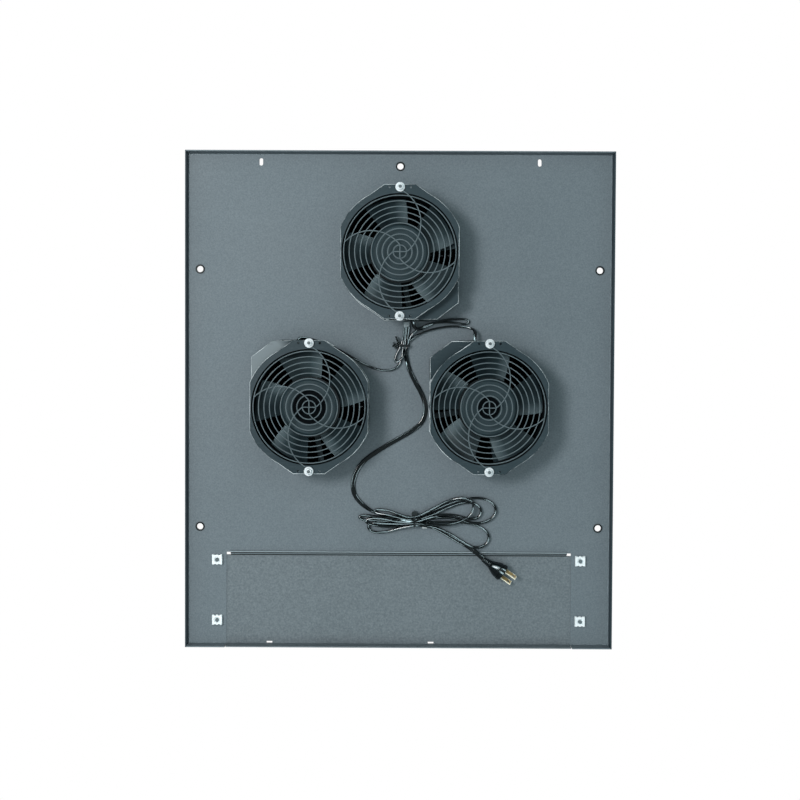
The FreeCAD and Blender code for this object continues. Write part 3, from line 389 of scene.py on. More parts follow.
def rubbed_corner(middle):
    """The terminal corner of a casting, rubbed paler than the rest of its paint."""
    graph, surface, colour, place = overlay("casting")
    level = graph.vectors("MULTIPLY", place, (1, 1, 0))[0]
    near = graph.remap(graph.vectors("DISTANCE", level, middle)["Value"], *RUB_REACH, 1.0, 0.0)
    low = graph.maths("LESS_THAN", graph.apart(place)["Z"], FRAME_TOP - CORNER_DROP)
    rubbed = graph.times(near, low)
    streaked = graph.times(rubbed, scuffed(graph, 22.0, 4.0, 1.0))
    colour = graph.mix(rubbed, colour, RUB_PALE)
    graph.join(graph.mix(streaked, colour, RUB_STREAK), surface)


for fan in FANS:
    blade_paint_and_painted_light(fan)
painted_rim_shade()
# Painted highlights and painted shade on the tray's and the cover's lips at the seam.
lip_painted_light("tray", SEAM + 0.0021, 0.0065, 0.0, (-0.0001, 0.0010))
lip_painted_light("cover", SEAM, 0.0055, 0.0022, (0.0006, 0.0016))
rubbed_corner((AXIS["left"].x - 0.060, AXIS["left"].y + 0.062, 0))


# ---- placing pieces


def paint(piece, finish):
    piece.data.materials.clear()
    piece.data.materials.append(FINISHES[finish])


def settle(piece, body, finish, record_slot, *stands_for):
    """Finishes a piece: its material, its body and the node that it stands for."""
    if finish is not None:
        paint(piece, finish)
    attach(piece, body)
    if stands_for:
        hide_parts(*stands_for)
    return piece


def piece_from(name, data):
    """A new object of the scene, with its mesh, curve, lamp or camera."""
    piece = bpy.data.objects.new(name, data)
    bpy.context.scene.collection.objects.link(piece)
    return piece


def mesh_of(name, form):
    """A bmesh's form as a mesh; the bmesh is let go."""
    mesh = bpy.data.meshes.new(name)
    form.to_mesh(mesh)
    form.free()
    return mesh


def from_bmesh(name, form, smooth=40):
    bmesh.ops.remove_doubles(form, verts=form.verts, dist=1e-7)
    bmesh.ops.recalc_face_normals(form, faces=form.faces)
    mesh = mesh_of(name, form)
    soften(mesh, smooth)
    return piece_from(name, mesh)


def soften(mesh, degrees):
    mesh.polygons.foreach_set("use_smooth", [True] * len(mesh.polygons))
    mesh.set_sharp_from_angle(angle=math.radians(degrees))


def evaluated(piece):
    """The mesh that a piece's modifiers or curve settings give."""
    bpy.context.view_layer.update()
    shown = piece.evaluated_get(bpy.context.evaluated_depsgraph_get())
    return bpy.data.meshes.new_from_object(shown)


def flatten(piece, name):
    """The evaluated form of a piece as a plain mesh in place of its modifiers."""
    mesh = evaluated(piece)
    mesh.name = name
    bpy.data.objects.remove(piece)
    return piece_from(name, mesh)


OUTLINE_FROM, SHORT_EDGE, THROAT_REACH = 0.0745, 0.0022, 0.0738
EASE_STEPS, EASE_ANGLE = 2, math.radians(30)


def on_outline(line, axis):
    """Whether an edge is an upper one of the outline round an axis."""
    first, last = (corner.co for corner in line.verts)
    tilts = [face.normal.z for face in line.link_faces]
    return (any(tilt > 0.9 for tilt in tilts) and any(abs(tilt) < 0.1 for tilt in tilts)
            and abs(first.z - last.z) < 1e-5 and line.calc_length() > SHORT_EDGE
            and ((first + last) / 2 - axis).xy.length > OUTLINE_FROM)


def eased(node, width, finish, record_slot, worn_and_highlight=None, outline_of=None):
    """A rigid piece with its edges broken, as paint and tumbling leave them.

    With outline_of, an axis's place, only the upper edges of its outline are broken."""
    source = frame["nodes"][node]
    form = bmesh.new()
    form.from_mesh(source.data)
    bmesh.ops.remove_doubles(form, verts=form.verts, dist=2e-6)
    bmesh.ops.dissolve_limit(form, angle_limit=math.radians(1.5), verts=form.verts,
                             edges=form.edges, delimit={"NORMAL"})
    if outline_of is not None:
        share = form.edges.layers.float.new("bevel_weight_edge")
        for line in form.edges:
            if on_outline(line, outline_of):
                line[share] = 1.0
    draft = piece_from(node + "_draft", mesh_of(node + "_eased", form))
    edge = draft.modifiers.new("broken edges", "BEVEL")
    edge.width = width
    edge.segments = EASE_STEPS
    edge.limit_method = "ANGLE" if outline_of is None else "WEIGHT"
    edge.angle_limit = EASE_ANGLE
    edge.use_clamp_overlap = outline_of is None
    paint(draft, finish)
    # The broken edges take worn paint with a painted highlight.
    if worn_and_highlight is not None:
        draft.data.materials.append(FINISHES[worn_and_highlight])
        edge.material = 1
    piece = flatten(draft, node + "_finished")
    soften(piece.data, 35)
    for face in piece.data.polygons:
        if abs(face.normal.z) > 0.999:
            face.use_smooth = False
    return settle(piece, source["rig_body"], None, record_slot, node)


def paint_shade_round_axis(piece, centre, reach, upright):
    """Gives the faces round an axis, inside a reach, painted shade: the dark of a shaded throat.
    """
    piece.data.materials.append(FINISHES["throat"])
    last = len(piece.data.materials) - 1
    for face in piece.data.polygons:
        off = (face.center - centre).xy.length
        if off < reach and (not upright or abs(face.normal.z) < 0.5):
            face.material_index = last


# ---- camera, light and floor

VIEW_LENS, VIEW_SENSOR = 51.55, 36.0
VIEW_PLACE, VIEW_TURN = (0.00633, 0.03598, 1.5), (-1.358, 0.2176, 0.2646)


def camera():
    data = bpy.data.cameras.new("view")
    data.lens, data.sensor_width = VIEW_LENS, VIEW_SENSOR
    eye = piece_from("view", data)
    eye.location = VIEW_PLACE
    eye.rotation_euler = [math.radians(turn) for turn in VIEW_TURN]
    bpy.context.scene.camera = eye


LIT = Vector((0, 0, 0.03))


def lamp(name, place, width, power, mirrored=True, spread=True, colour=(1, 1, 1)):
    """A round lamp that is turned to the part's middle."""
    data = bpy.data.lights.new(name, "AREA")
    data.shape = "DISK"
    data.size = width
    data.energy = power
    data.color = colour
    light = piece_from(name, data)
    light.location = place
    light.rotation_euler = (LIT - Vector(place)).to_track_quat("-Z", "Y").to_euler()
    light.visible_glossy = mirrored
    light.visible_diffuse = spread


GLINTS, GLINT_RING, GLINT_HEIGHT, GLINT_WIDTH, GLINT_POWER = 5, 1.4, 1.95, 0.9, 25
GLINT_COLOUR = (0.68, 0.93, 1.0)
SKY_STRENGTH, SKY_COLOUR, GLOSS_LOSS = 0.46, (0.80, 1.0, 1.03, 1), 0.7


def seen_directly(graph, *rays):
    """The light path's outputs, and whether a ray is straight from the camera or one of rays."""
    seen = graph.add("ShaderNodeLightPath").outputs
    direct = graph.maths("MAXIMUM", seen["Is Camera Ray"], seen["Is Transmission Ray"])
    for ray in rays:
        direct = graph.maths("MAXIMUM", direct, seen[ray])
    return seen, direct


def lights():
    lamp("key", (-1.0, 0.45, 2.0), 0.66, 31.5)
    lamp("fill", (-0.4, -0.5, 1.9), 1.2, 6, mirrored=False)
    for index in range(GLINTS):
        turn = math.tau * (index + 0.5) / GLINTS
        place = (GLINT_RING * math.cos(turn), GLINT_RING * math.sin(turn), GLINT_HEIGHT)
        lamp(f"glint {index + 1}", place, GLINT_WIDTH, GLINT_POWER, spread=False,
             colour=GLINT_COLOUR)
    world = bpy.data.worlds.new("studio")
    world.use_nodes = True
    bpy.context.scene.world = world
    graph = Graph(world.node_tree)
    seen, direct = seen_directly(graph)
    lost = graph.times(seen["Is Glossy Ray"], GLOSS_LOSS)
    strength = graph.times(graph.remap(direct, 0.0, 1.0, SKY_STRENGTH, 1.0),
                           graph.maths("SUBTRACT", 1.0, lost))
    graph.feed(world.node_tree.nodes["Background"], Strength=strength,
               Color=graph.mix(direct, SKY_COLOUR, (1, 1, 1, 1)))


BEYOND_FANS = Vector((0.215, 0.287))
FLOOR_SIZE, FLOOR_DROP, FLOOR_DARK = 4.0, 0.0004, (0.004, 0.005, 0.006, 1)
OPEN_REACH, OPEN_FROM = 0.06, (0.45, 0.62)


def floor():
    """A dark floor that is drawn white wherever it is open to the air, as beyond the fans."""
    form = bmesh.new()
    bmesh.ops.create_grid(form, x_segments=1, y_segments=1, size=FLOOR_SIZE)
    slab = from_bmesh("floor", form)
    slab.data.transform(Matrix.Translation((0, 0, -FLOOR_DROP)))
    material, graph, surface = blank("pale floor", 0.9)
    graph.feed(surface, Base_Color=FLOOR_DARK, Specular_IOR_Level=0.1)
    _, direct = seen_directly(graph, "Is Glossy Ray")
    open_air = graph.add("ShaderNodeAmbientOcclusion", samples=8)
    open_air = graph.feed(open_air, Distance=OPEN_REACH).outputs["AO"]
    x, y, _ = graph.apart(graph.places())
    before = graph.maths("GREATER_THAN", y, BEYOND_FANS.y)
    behind = graph.maths("LESS_THAN", y, -BEYOND_FANS.y)
    bright = graph.maths("MAXIMUM", graph.remap(open_air, *OPEN_FROM), behind)
    bright = graph.maths("MAXIMUM", bright,
                         graph.maths("MAXIMUM", graph.beyond(x, BEYOND_FANS.x), before))
    white = graph.add("ShaderNodeEmission").outputs[0]
    shown = graph.ordered(graph.add("ShaderNodeMixShader"),
                          graph.times(direct, bright), surface.outputs[0], white)[0]
    graph.join(shown, material.node_tree.nodes["Material Output"].inputs["Surface"])
    slab.data.materials.append(material)


camera()
lights()
floor()
bpy.context.scene.view_settings.view_transform = "Standard"


# ---- cords

def run_line(name, points):
    """The smooth line of a cord through its control points, in millimetres."""
    data = bpy.data.curves.new(name, "CURVE")
    data.dimensions = "3D"
    data.twist_mode = "Z_UP"
    data.resolution_u = 10
    spline = data.splines.new("NURBS")
    spline.points.add(len(points) - 1)
    for point, (x, y, z, lean) in zip(spline.points, points):
        point.co = (x * MM, y * MM, z * MM, 1.0)
        point.tilt = math.radians(lean)
    spline.order_u = 3
    spline.use_endpoint_u = True
    return piece_from(name, data)


WAIST_TURN = 122


def twin_section(width, gauge):
    """The section of a two-core flat cord: two rounds with a waist between them."""
    data = bpy.data.curves.new("twin_section", "CURVE")
    data.dimensions = "2D"
    spline = data.splines.new("POLY")
    steps = 9
    round_, reach = gauge / 2, (width - gauge) / 2
    corners = []
    for side in (1, -1):
        for index in range(steps):
            turn = math.radians(-WAIST_TURN + 2 * WAIST_TURN * index / (steps - 1))
            corners.append((side * (reach + round_ * math.cos(turn)),
                            side * round_ * math.sin(turn)))
    spline.points.add(len(corners) - 1)
    for point, (x, y) in zip(spline.points, corners):
        point.co = (x, y, 0, 1)
    spline.use_cyclic_u = True
    return piece_from("twin_section", data)


def flat_cord(name, points, width, gauge, *stands_for):
    """A flat cord's piece, the line that it follows and its length."""
    line = run_line(name + "_line", points)
    path = [tuple(vertex.co) for vertex in evaluated(line).vertices]
    section = twin_section(width, gauge)
    line.data.bevel_mode = "OBJECT"
    line.data.bevel_object = section
    line.data.use_fill_caps = True
    piece = flatten(line, name)
    bpy.data.objects.remove(section)
    soften(piece.data, 60)
    length = sum((Vector(b) - Vector(a)).length for a, b in zip(path, path[1:]))
    print(name, "length", round(length, 4))
    return settle(piece, "tray", "cord", "cord", *stands_for), path, length


CORD_WIDTH, CORD_GAUGE = 0.006, 0.003
LEAD_WIDTH, LEAD_GAUGE = 0.005, 0.0026
LYING, STANDING = 4.55, 6.1
EDGE = 88


def on_edge(*spots, height=STANDING):
    """Control points of a cord on its narrow side; a spot may give its own height."""
    return [(spot + (height,))[:3] + (EDGE,) for spot in spots]


def lying(*spots):
    """Control points of a cord that lies flat on the sheet."""
    return [(x, y, LYING, 0) for x, y in spots]


RISE_TO_SPLICE = (on_edge((9.7, 96.3, 7.5), (8.7, 85.1, 6.4), (7, 71.1, 6.2))
    + [(7.9, 61.1, 5.6, 60)])
SUPPLY_RUN = ([(10.7, 45, LYING, 10)] + lying((19.1, 26.5), (29.6, 8.5), (35.4, -10),
    (31.1, -28.5), (13.6, -42.1), (-7.5, -53.6), (-29, -66.7), (-49.6, -81.7), (-60.1, -101.8),
    (-60.1, -122.9)) + [(-46.6, -138.5, 5.2, 30)] + on_edge((-28.1, -149.1)))
LOOP_WIDE = on_edge((0, -151.9), (20.6, -153.2), (42.2, -146), (60.3, -137.1), (78.3, -130.6),
    (95.4, -126.6), (112.4, -127.6), (124.5, -135), (127.5, -145), (121.5, -154.6),
    (108.5, -160.2), (93.4, -159.6), (78.4, -154.8), (62.3, -152.1), (42.2, -154.2),
    (20.6, -156.3))
FOLD_NARROW = on_edge((0, -155.2), (-20, -152.8), (-38.1, -150.8), (-48.1, -150.2),
    (-52.7, -153.2), (-48.1, -156.2), (-36.1, -156.4), (-18, -157.8), (0, -158.8), (20.6, -159.4))
LOOP_LOW = on_edge((42.2, -159), (62.3, -158.2), (82.4, -158.8), (98.4, -161.5), (110.5, -166.7),
    (118.1, -175.3), (116.6, -185.8), (107, -192.1), (95.5, -191.5), (82.4, -183.6),
    (67.3, -174.1, 6.6), (52.3, -166.8, 9.5), (36.2, -163.1, 12), (20.6, -162.4, 12.3))
FOLD_LOW = on_edge((2, -166.2, 9), (-14, -171.5), (-30.1, -173.1), (-38.6, -169.7),
    (-40.6, -164.2), (-34.6, -160.2, 6.6), (-18, -161, 8.4), (0, -161.1, 11),
    (20.6, -159.3, 12.3))
LOOP_TOP = on_edge((36.2, -161.3, 12.3), (54.3, -162.1, 12), (70.3, -160.7, 12),
    (84.4, -156.1, 12.3), (94.4, -147.9, 12), (97.9, -137.8, 12.2), (93.9, -128.7, 12.4),
    (83.3, -125.9, 11), (70.3, -128.2, 8), (55.2, -135.2, 7.6), (38.2, -144.2, 10),
    (20.6, -153, 12.3))
FOLD_HIGH = on_edge((4.1, -150.2, 11), (-12, -144.1, 7.4), (-26.1, -142.1), (-33.6, -144.7),
    (-27.1, -147.9, 9), (-12, -149.2, 12), (4.1, -153.4, 12.4), (20.6, -156.1, 12.4))
LOOP_INNER = (on_edge((40.2, -150.1, 9.5), (58.3, -142.5, 6.6), (76.3, -135.1), (91.4, -132.1),
    (102.9, -135.7), (108.5, -144.5), (104, -153.2), (93.4, -155), (80.4, -151), (62.3, -148),
    (42.2, -151.9, 8)) + [(20.6, -156.5, 16.8, 10)])
FOLD_MIDDLE = ([(2, -156.8, 14, 30)] + on_edge((-16, -154.8, 12.3), (-32.1, -153.3, 10),
    (-41.6, -155.1, 9), (-43.6, -159.1, 9), (-36.1, -162.1, 10), (-18, -165, 9), (0, -164.2, 6.6),
    (20.6, -162.6)))
TAIL = ([(32.2, -163.1, 6, 60), (45.2, -165.2, 4.8, 10)] + lying((58.8, -172.3), (75.4, -182.3))
    + [(91.5, -191, 6.6, 0), (102, -198.6, 10.2, 0), (111.4, -207.2, 11.9, 0)])


LEAD_STANDING = 5.7
TOP_LEAD = ([(17, 101.8, 17.5, 0), (18.2, 94.8, 14.6, 20), (24.5, 91.9, 10, 60)]
    + on_edge((34, 95.6, 7), (47, 102), (62, 105.6), (76, 106.2), (84.5, 106.4), (89.6, 104.8),
    (89.8, 101.2), (84.5, 99.8), (74, 101.4), (60, 102.2), (45, 101.4, 6), (28, 95.7, 7.6),
    (17.1, 87.7, 8), (11.9, 79.1, 7), (10.3, 70.1), (7.1, 59.6, 7), (1.6, 53.1, 7.5),
    (-3.1, 49.3), (-6.5, 51.1), (-4.5, 59.6), (1.7, 70.6), (4.7, 82.1, 6.2),
    (6.3, 96.1, 7.5), height=LEAD_STANDING))
RIGHT_LEAD = ([(97, 77.4, 17.5, 0), (97.4, 83.3, 16.4, 10), (98.2, 89.7, 13.2, 40)]
    + on_edge((94.5, 94.1, 8.8), (84, 96.4, 6.2), (66, 97), (48, 94.4), (30, 89.2), (18.1, 82),
    (11.7, 76), (10.5, 81), (11.7, 88.5, 6.4), (12.5, 96.1, 7.5), height=LEAD_STANDING))
LEFT_LEAD = ([(-130.9, 77.3, 17.5, 0), (-129.2, 80.3, 15.8, 10), (-121.9, 80.2, 12.6, 50),
    (-109.9, 77.8, 9.8, 75)] + on_edge((-96.4, 73.6, 9.2), (-82.9, 67.8, 9.2), (-67.4, 59.5, 9),
    (-52, 50.1, 8), (-37, 42.9), (-22, 38.7), (-8.9, 39.5), (-0.5, 45.5), (3.3, 55.1),
    (4.7, 70.6), (7.5, 83.1, 6.2), (8.1, 96.1, 7.5), height=LEAD_STANDING))


SUPPLY = flat_cord("supply_cord_whole",
                   RISE_TO_SPLICE + SUPPLY_RUN + LOOP_WIDE + FOLD_NARROW + LOOP_LOW + FOLD_LOW
                   + LOOP_TOP + FOLD_HIGH + LOOP_INNER + FOLD_MIDDLE + TAIL,
                   CORD_WIDTH, CORD_GAUGE, "supply_cord", "cord_hank", "supply_cord_tail",
                   "lead_bundle")
LEADS = {fan: flat_cord(f"fan_lead_{fan}_run", points, LEAD_WIDTH, LEAD_GAUGE, f"fan_lead_{fan}")
         for fan, points in (("top", TOP_LEAD), ("right", RIGHT_LEAD), ("left", LEFT_LEAD))}


# ---- forms that repeat, as node trees

def form_tree(name, inputs):
    return new_tree(name, "GeometryNodeTree", {"Geometry": "Geometry", **inputs},
                    {"Geometry": "Geometry"})


def finish_tree(graph, form, material, result):
    """Every tree ends by realizing its instances and setting its material."""
    real = graph.put("GeometryNodeRealizeInstances", Geometry=form)[0]
    graph.join(graph.put("GeometryNodeSetMaterial", Geometry=real, Material=material)[0],
               result[0])
    return graph.tree


def placed(graph, form, x=0.0, y=0.0, z=0.0, turn=0.0):
    """A form moved by x, y and z and turned about the upright axis."""
    return graph.put("GeometryNodeTransform", Geometry=form, Rotation=graph.triple(Z=turn),
                     Translation=graph.triple(X=x, Y=y, Z=z))[0]


def joined(graph, *forms):
    node = graph.add("GeometryNodeJoinGeometry")
    for form in forms:
        graph.join(form, node.inputs[0])
    return node.outputs[0]


def hoop(graph, sides, radius):
    return graph.put("GeometryNodeCurvePrimitiveCircle", Resolution=sides, Radius=radius)[0]


def wire_along(graph, line, radius, sides=10):
    """A round wire along a curve."""
    return graph.put("GeometryNodeCurveToMesh", Curve=line,
                     Profile_Curve=hoop(graph, sides, radius), Fill_Caps=True)[0]


def copied(graph, points, form, **given):
    """A form on every point."""
    return graph.put("GeometryNodeInstanceOnPoints", Points=points, Instance=form, **given)[0]


def moved(graph, form, position):
    """A form whose points are set to new places."""
    return graph.put("GeometryNodeSetPosition", Geometry=form, Position=position)[0]


def make_guard():
    """Rings of welded wire on four bent spokes; two spokes end in eyes for the screws."""
    graph, given, result = form_tree("finger guard", {
        "Rings": 10, "First": 0.0084, "Pitch": 0.00694, "Wire": 0.0008, "Weld": 0.0002,
        "Start": "Vector", "Bend": "Vector", "End": "Vector", "Short Bend": "Vector",
        "Short End": "Vector", "Eye Place": 0.081, "Eye": 0.00305, "Enamel": "Material"})
    wire, start = given["Wire"], given["Start"]
    drop = graph.maths("SUBTRACT", given["Weld"], graph.times(wire, 2.0))
    steps = graph.put("GeometryNodeMeshLine", Count=given["Rings"],
                      Start_Location=graph.triple(X=given["First"], Z=drop),
                      Offset=graph.triple(X=given["Pitch"]))[0]
    x, _, z = graph.apart(graph.add("GeometryNodeInputPosition").outputs[0])
    hoops = copied(graph, steps, hoop(graph, 96, 1.0), Scale=graph.triple(X=x, Y=x, Z=1.0))
    real = graph.put("GeometryNodeRealizeInstances",
                     Geometry=moved(graph, hoops, graph.triple(Z=z)))[0]
    pieces = [wire_along(graph, real, wire)]
    for bend, end, turns in (("Bend", "End", (0, 180)), ("Short Bend", "Short End", (90, 270))):
        arc = graph.add("GeometryNodeCurveArc", mode="POINTS")
        graph.feed(arc, Resolution=40, Start=start, Middle=given[bend], End=given[end])
        rod = wire_along(graph, arc.outputs[0], wire)
        pieces += [placed(graph, rod, turn=math.radians(turn)) for turn in turns]
    across = graph.feed(graph.add("ShaderNodeVectorMath", operation="SCALE"), Scale=-1.0)
    graph.join(start, across.inputs[0])
    bar = graph.put("GeometryNodeCurvePrimitiveLine", Start=start, End=across.outputs[0])[0]
    rod = wire_along(graph, bar, wire)
    loop = wire_along(graph, hoop(graph, 28, given["Eye"]), wire)
    back = graph.times(given["Eye Place"], -1.0)
    pieces += [rod, placed(graph, rod, turn=math.radians(90)),
               placed(graph, loop, y=given["Eye Place"]), placed(graph, loop, y=back)]
    return finish_tree(graph, joined(graph, *pieces), given["Enamel"], result)


def turned_form(graph, sides, low, high, rise, base):
    """A short cone or drum standing on a height."""
    drum = graph.put("GeometryNodeMeshCone", Vertices=sides, Radius_Bottom=low, Radius_Top=high,
                     Depth=rise)[0]
    return placed(graph, drum, z=base)


def make_nuts():
    """A flanged nut on every point, each turned as its thread left it."""
    graph, given, result = form_tree("flanged nuts", {
        "Washer Round": 0.006, "Washer Rise": 0.0012, "Hex Round": 0.0041, "Hex Rise": 0.0032,
        "Chamfer": 0.0005, "Seed": 4, "Plate": "Material"})
    chamfer = given["Chamfer"]
    drums = []
    for sides, kind, base in ((40, "Washer", 0.0), (6, "Hex", given["Washer Rise"])):
        wide = given[kind + " Round"]
        side = graph.maths("SUBTRACT", given[kind + " Rise"], chamfer)
        drums += [turned_form(graph, sides, wide, wide, side, base),
                  turned_form(graph, sides, wide, graph.maths("SUBTRACT", wide, chamfer), chamfer,
                              graph.maths("ADD", base, side))]
    turn = graph.add("FunctionNodeRandomValue", data_type="FLOAT")
    turn.inputs[3].default_value = math.tau
    graph.join(given["Seed"], turn.inputs["Seed"])
    copies = copied(graph, given["Geometry"], joined(graph, *drums),
                    Rotation=graph.triple(Z=turn.outputs[1]))
    return finish_tree(graph, copies, given["Plate"], result)


def make_impeller():
    """Twisted sheet blades round a pressed ring."""
    graph, given, result = form_tree("impeller", {
        "Count": 5, "Lead": 0.0, "Span": 0.9, "Sweep": 0.15, "Root": 0.0375, "Tip": 0.071,
        "Base": 0.0145, "Rise": 0.0258, "Gauge": 0.0022, "Belly": 0.003, "Ring Round": 0.0375,
        "Ring Wall": 0.002, "Ring Base": 0.013, "Ring Rise": 0.03, "Paint": "Material"})
    sheet = graph.put("GeometryNodeMeshGrid", Size_X=1.0, Size_Y=1.0, Vertices_X=25,
                      Vertices_Y=11)[0]
    along, width, _ = graph.apart(graph.add("GeometryNodeInputPosition").outputs[0])
    outward = graph.maths("ADD", width, 0.5)
    left = graph.maths("SUBTRACT", 0.5, along)
    swept = graph.times(graph.times(given["Sweep"], left), outward)
    angle = graph.maths("ADD", graph.times(given["Span"], along), swept)
    reach = graph.maths("SUBTRACT", given["Tip"], given["Root"])
    radius = graph.maths("ADD", given["Root"], graph.times(reach, outward))
    slope = graph.times(given["Rise"], graph.maths("ADD", along, 0.5))
    arch = graph.maths("COSINE", graph.times(along, math.pi))
    belly = graph.times(graph.times(arch, given["Belly"]), outward)
    height = graph.maths("SUBTRACT", graph.maths("ADD", given["Base"], slope), belly)
    shape = moved(graph, sheet, graph.triple(X=graph.times(radius, graph.maths("COSINE", angle)),
                                             Y=graph.times(radius, graph.maths("SINE", angle)),
                                             Z=height))
    thick = graph.feed(graph.add("GeometryNodeExtrudeMesh", mode="FACES"), Mesh=shape,
                       Offset=graph.triple(Z=given["Gauge"]), Offset_Scale=1.0, Individual=False)
    under = graph.put("GeometryNodeFlipFaces", Mesh=shape)[0]
    spots = graph.put("GeometryNodeMeshLine", Count=given["Count"])[0]
    step = graph.maths("DIVIDE", math.tau, given["Count"])
    index = graph.add("GeometryNodeInputIndex").outputs[0]
    turn = graph.maths("ADD", graph.times(index, step), given["Lead"])
    copies = copied(graph, moved(graph, spots, graph.triple()),
                    joined(graph, thick.outputs[0], under), Rotation=graph.triple(Z=turn))
    section = graph.put("GeometryNodeCurvePrimitiveQuadrilateral", Width=given["Ring Wall"],
                        Height=given["Ring Rise"])[0]
    band = graph.put("GeometryNodeCurveToMesh", Curve=hoop(graph, 96, given["Ring Round"]),
                     Profile_Curve=section)[0]
    half = graph.times(given["Ring Rise"], 0.5)
    ring = placed(graph, band, z=graph.maths("ADD", given["Ring Base"], half))
    return finish_tree(graph, joined(graph, copies, ring), given["Paint"], result)


GUARD_TREE = make_guard()
NUT_TREE = make_nuts()
IMPELLER_TREE = make_impeller()


def grown(name, tree, points, finish, place=(0, 0, 0), turn=0.0, smooth=35, **values):
    """A tree's form as plain mesh in the part's own frame."""
    mesh = bpy.data.meshes.new(name + "_seed")
    mesh.from_pydata(points, [], [])
    draft = piece_from(name + "_draft", mesh)
    step = draft.modifiers.new(tree.name, "NODES")
    step.node_group = tree
    sockets = {item.name: item.identifier for item in tree.interface.items_tree
               if item.in_out == "INPUT"}
    for label, value in values.items():
        step[sockets[label.replace("_", " ")]] = value
    kind = next(item.name for item in tree.interface.items_tree
                if item.in_out == "INPUT" and item.socket_type == "NodeSocketMaterial")
    step[sockets[kind]] = FINISHES[finish]
    piece = flatten(draft, name)
    piece.data.transform(Matrix.Translation(place) @ Matrix.Rotation(turn, 4, "Z"))
    form = bmesh.new()
    form.from_mesh(piece.data)
    bmesh.ops.remove_doubles(form, verts=form.verts, dist=1e-6)
    bmesh.ops.recalc_face_normals(form, faces=form.faces)
    form.to_mesh(piece.data)
    form.free()
    soften(piece.data, smooth)
    return piece


# ---- guards, nuts and impellers

WIRE = 0.0007
FIRST_RING, RING_PITCH, RING_COUNT = 0.0084, 0.00694, 10
SPOKE_ROUND, BOLT_REACH, EYE_ROUND = 0.046, 0.081, 0.00305
GUARD_TURN = {"top": math.pi, "left": 0.0, "right": 0.0}


def spoke_arc():
    """The points that a long and a short spoke's arc run through."""
    start = Vector((FIRST_RING, 0, 0))
    end = Vector((0, BOLT_REACH - EYE_ROUND, 0))
    half = (end - start) / 2
    side = Vector((-half.y, half.x, 0)).normalized()
    centre = start + half + side * math.sqrt(SPOKE_ROUND ** 2 - half.length ** 2)
    last = FIRST_RING + RING_PITCH * (RING_COUNT - 1)

    def on_arc(share):
        first = math.atan2(start.y - centre.y, start.x - centre.x)
        final = math.atan2(end.y - centre.y, end.x - centre.x)
        turn = first + (final - first) * share
        return centre + SPOKE_ROUND * Vector((math.cos(turn), math.sin(turn), 0))

    low, high = 0.0, 1.0
    for _ in range(30):
        middle = (low + high) / 2
        if on_arc(middle).length < last:
            low = middle
        else:
            high = middle
    return start, on_arc(0.5), end, on_arc(low / 2), on_arc(low)


def guard(fan):
    start, bend, end, short_bend, short_end = spoke_arc()
    place = (AXIS[fan].x, AXIS[fan].y, FRAME_TOP + WIRE)
    piece = grown(f"finger_guard_{fan}_wires", GUARD_TREE, [(0, 0, 0)], "wire", place,
                  GUARD_TURN[fan], Rings=RING_COUNT, First=FIRST_RING, Pitch=RING_PITCH,
                  Wire=WIRE, Start=start, Bend=bend, End=end, Short_Bend=short_bend,
                  Short_End=short_end, Eye_Place=BOLT_REACH, Eye=EYE_ROUND)
    settle(piece, "tray", None, "wire", f"finger_guard_{fan}")


def nuts():
    spots = [(AXIS[fan].x, AXIS[fan].y + side * BOLT_REACH, NUT_SEAT)
             for fan in FANS for side in (-1, 1)]
    piece = grown("fan_nuts_finished", NUT_TREE, spots, "zinc", smooth=25, Seed=7)
    settle(piece, "tray", None, "zinc", "fan_nuts")


BLADE_SPAN, BLADE_SWEEP, RING_REACH = math.radians(53), math.radians(9), 0.0387


def impeller(fan):
    place = (AXIS[fan].x, AXIS[fan].y, 0)
    piece = grown(f"impeller_{fan}_finished", IMPELLER_TREE, [(0, 0, 0)], f"blade_{fan}", place,
                  Lead=math.radians(BLADE_LEAD[fan]), Span=BLADE_SPAN, Sweep=BLADE_SWEEP)
    # Painted shade on the ring between hub and blades.
    paint_shade_round_axis(piece, AXIS[fan], RING_REACH, upright=False)
    settle(piece, f"{fan}_rotor", None, "impeller", f"impeller_{fan}")


for fan in FANS:
    guard(fan)
    impeller(fan)
nuts()


# ---- cages, plug and ties

def loft(form, rings, closed=False):
    """Faces between rings of corners; the ends are capped unless the loft closes on itself."""
    rows = [[form.verts.new(corner) for corner in ring] for ring in rings]
    pairs = list(zip(rows, rows[1:] + rows[:1])) if closed else list(zip(rows, rows[1:]))
    for first, second in pairs:
        for index, corner in enumerate(first):
            after = (index + 1) % len(first)
            form.faces.new((corner, first[after], second[after], second[index]))
    if not closed:
        form.faces.new(rows[0][::-1])
        form.faces.new(rows[-1])


CAGE_HALF, CAGE_INSET, CAGE_WINDOW, CAGE_EASE = 0.00655, 0.0067, 0.0037, 0.0004
CAGE_SIDES, SCALLOP_AT, SCALLOP_HALF, SCALLOP_DEEP = 96, 0.0027, 0.0015, 0.0009


def directions(count):
    """The cosine and sine of each step of a whole turn."""
    turns = [math.tau * index / count for index in range(count)]
    return [(math.cos(turn), math.sin(turn)) for turn in turns]


def cage_ring(round_, shrink, level, middle):
    """One ring of a cage's form: its scalloped square outline or its round window."""
    corners = []
    for across, up in directions(CAGE_SIDES):
        if round_ is None:
            reach = (CAGE_HALF - shrink) / max(abs(across), abs(up))
            if abs(up) > abs(across):
                off = (abs(reach * across) - SCALLOP_AT) / SCALLOP_HALF
                reach -= SCALLOP_DEEP * max(0.0, 1 - off * off)
        else:
            reach = round_
        corners.append((middle.x + reach * across, middle.y + reach * up, level))
    return corners


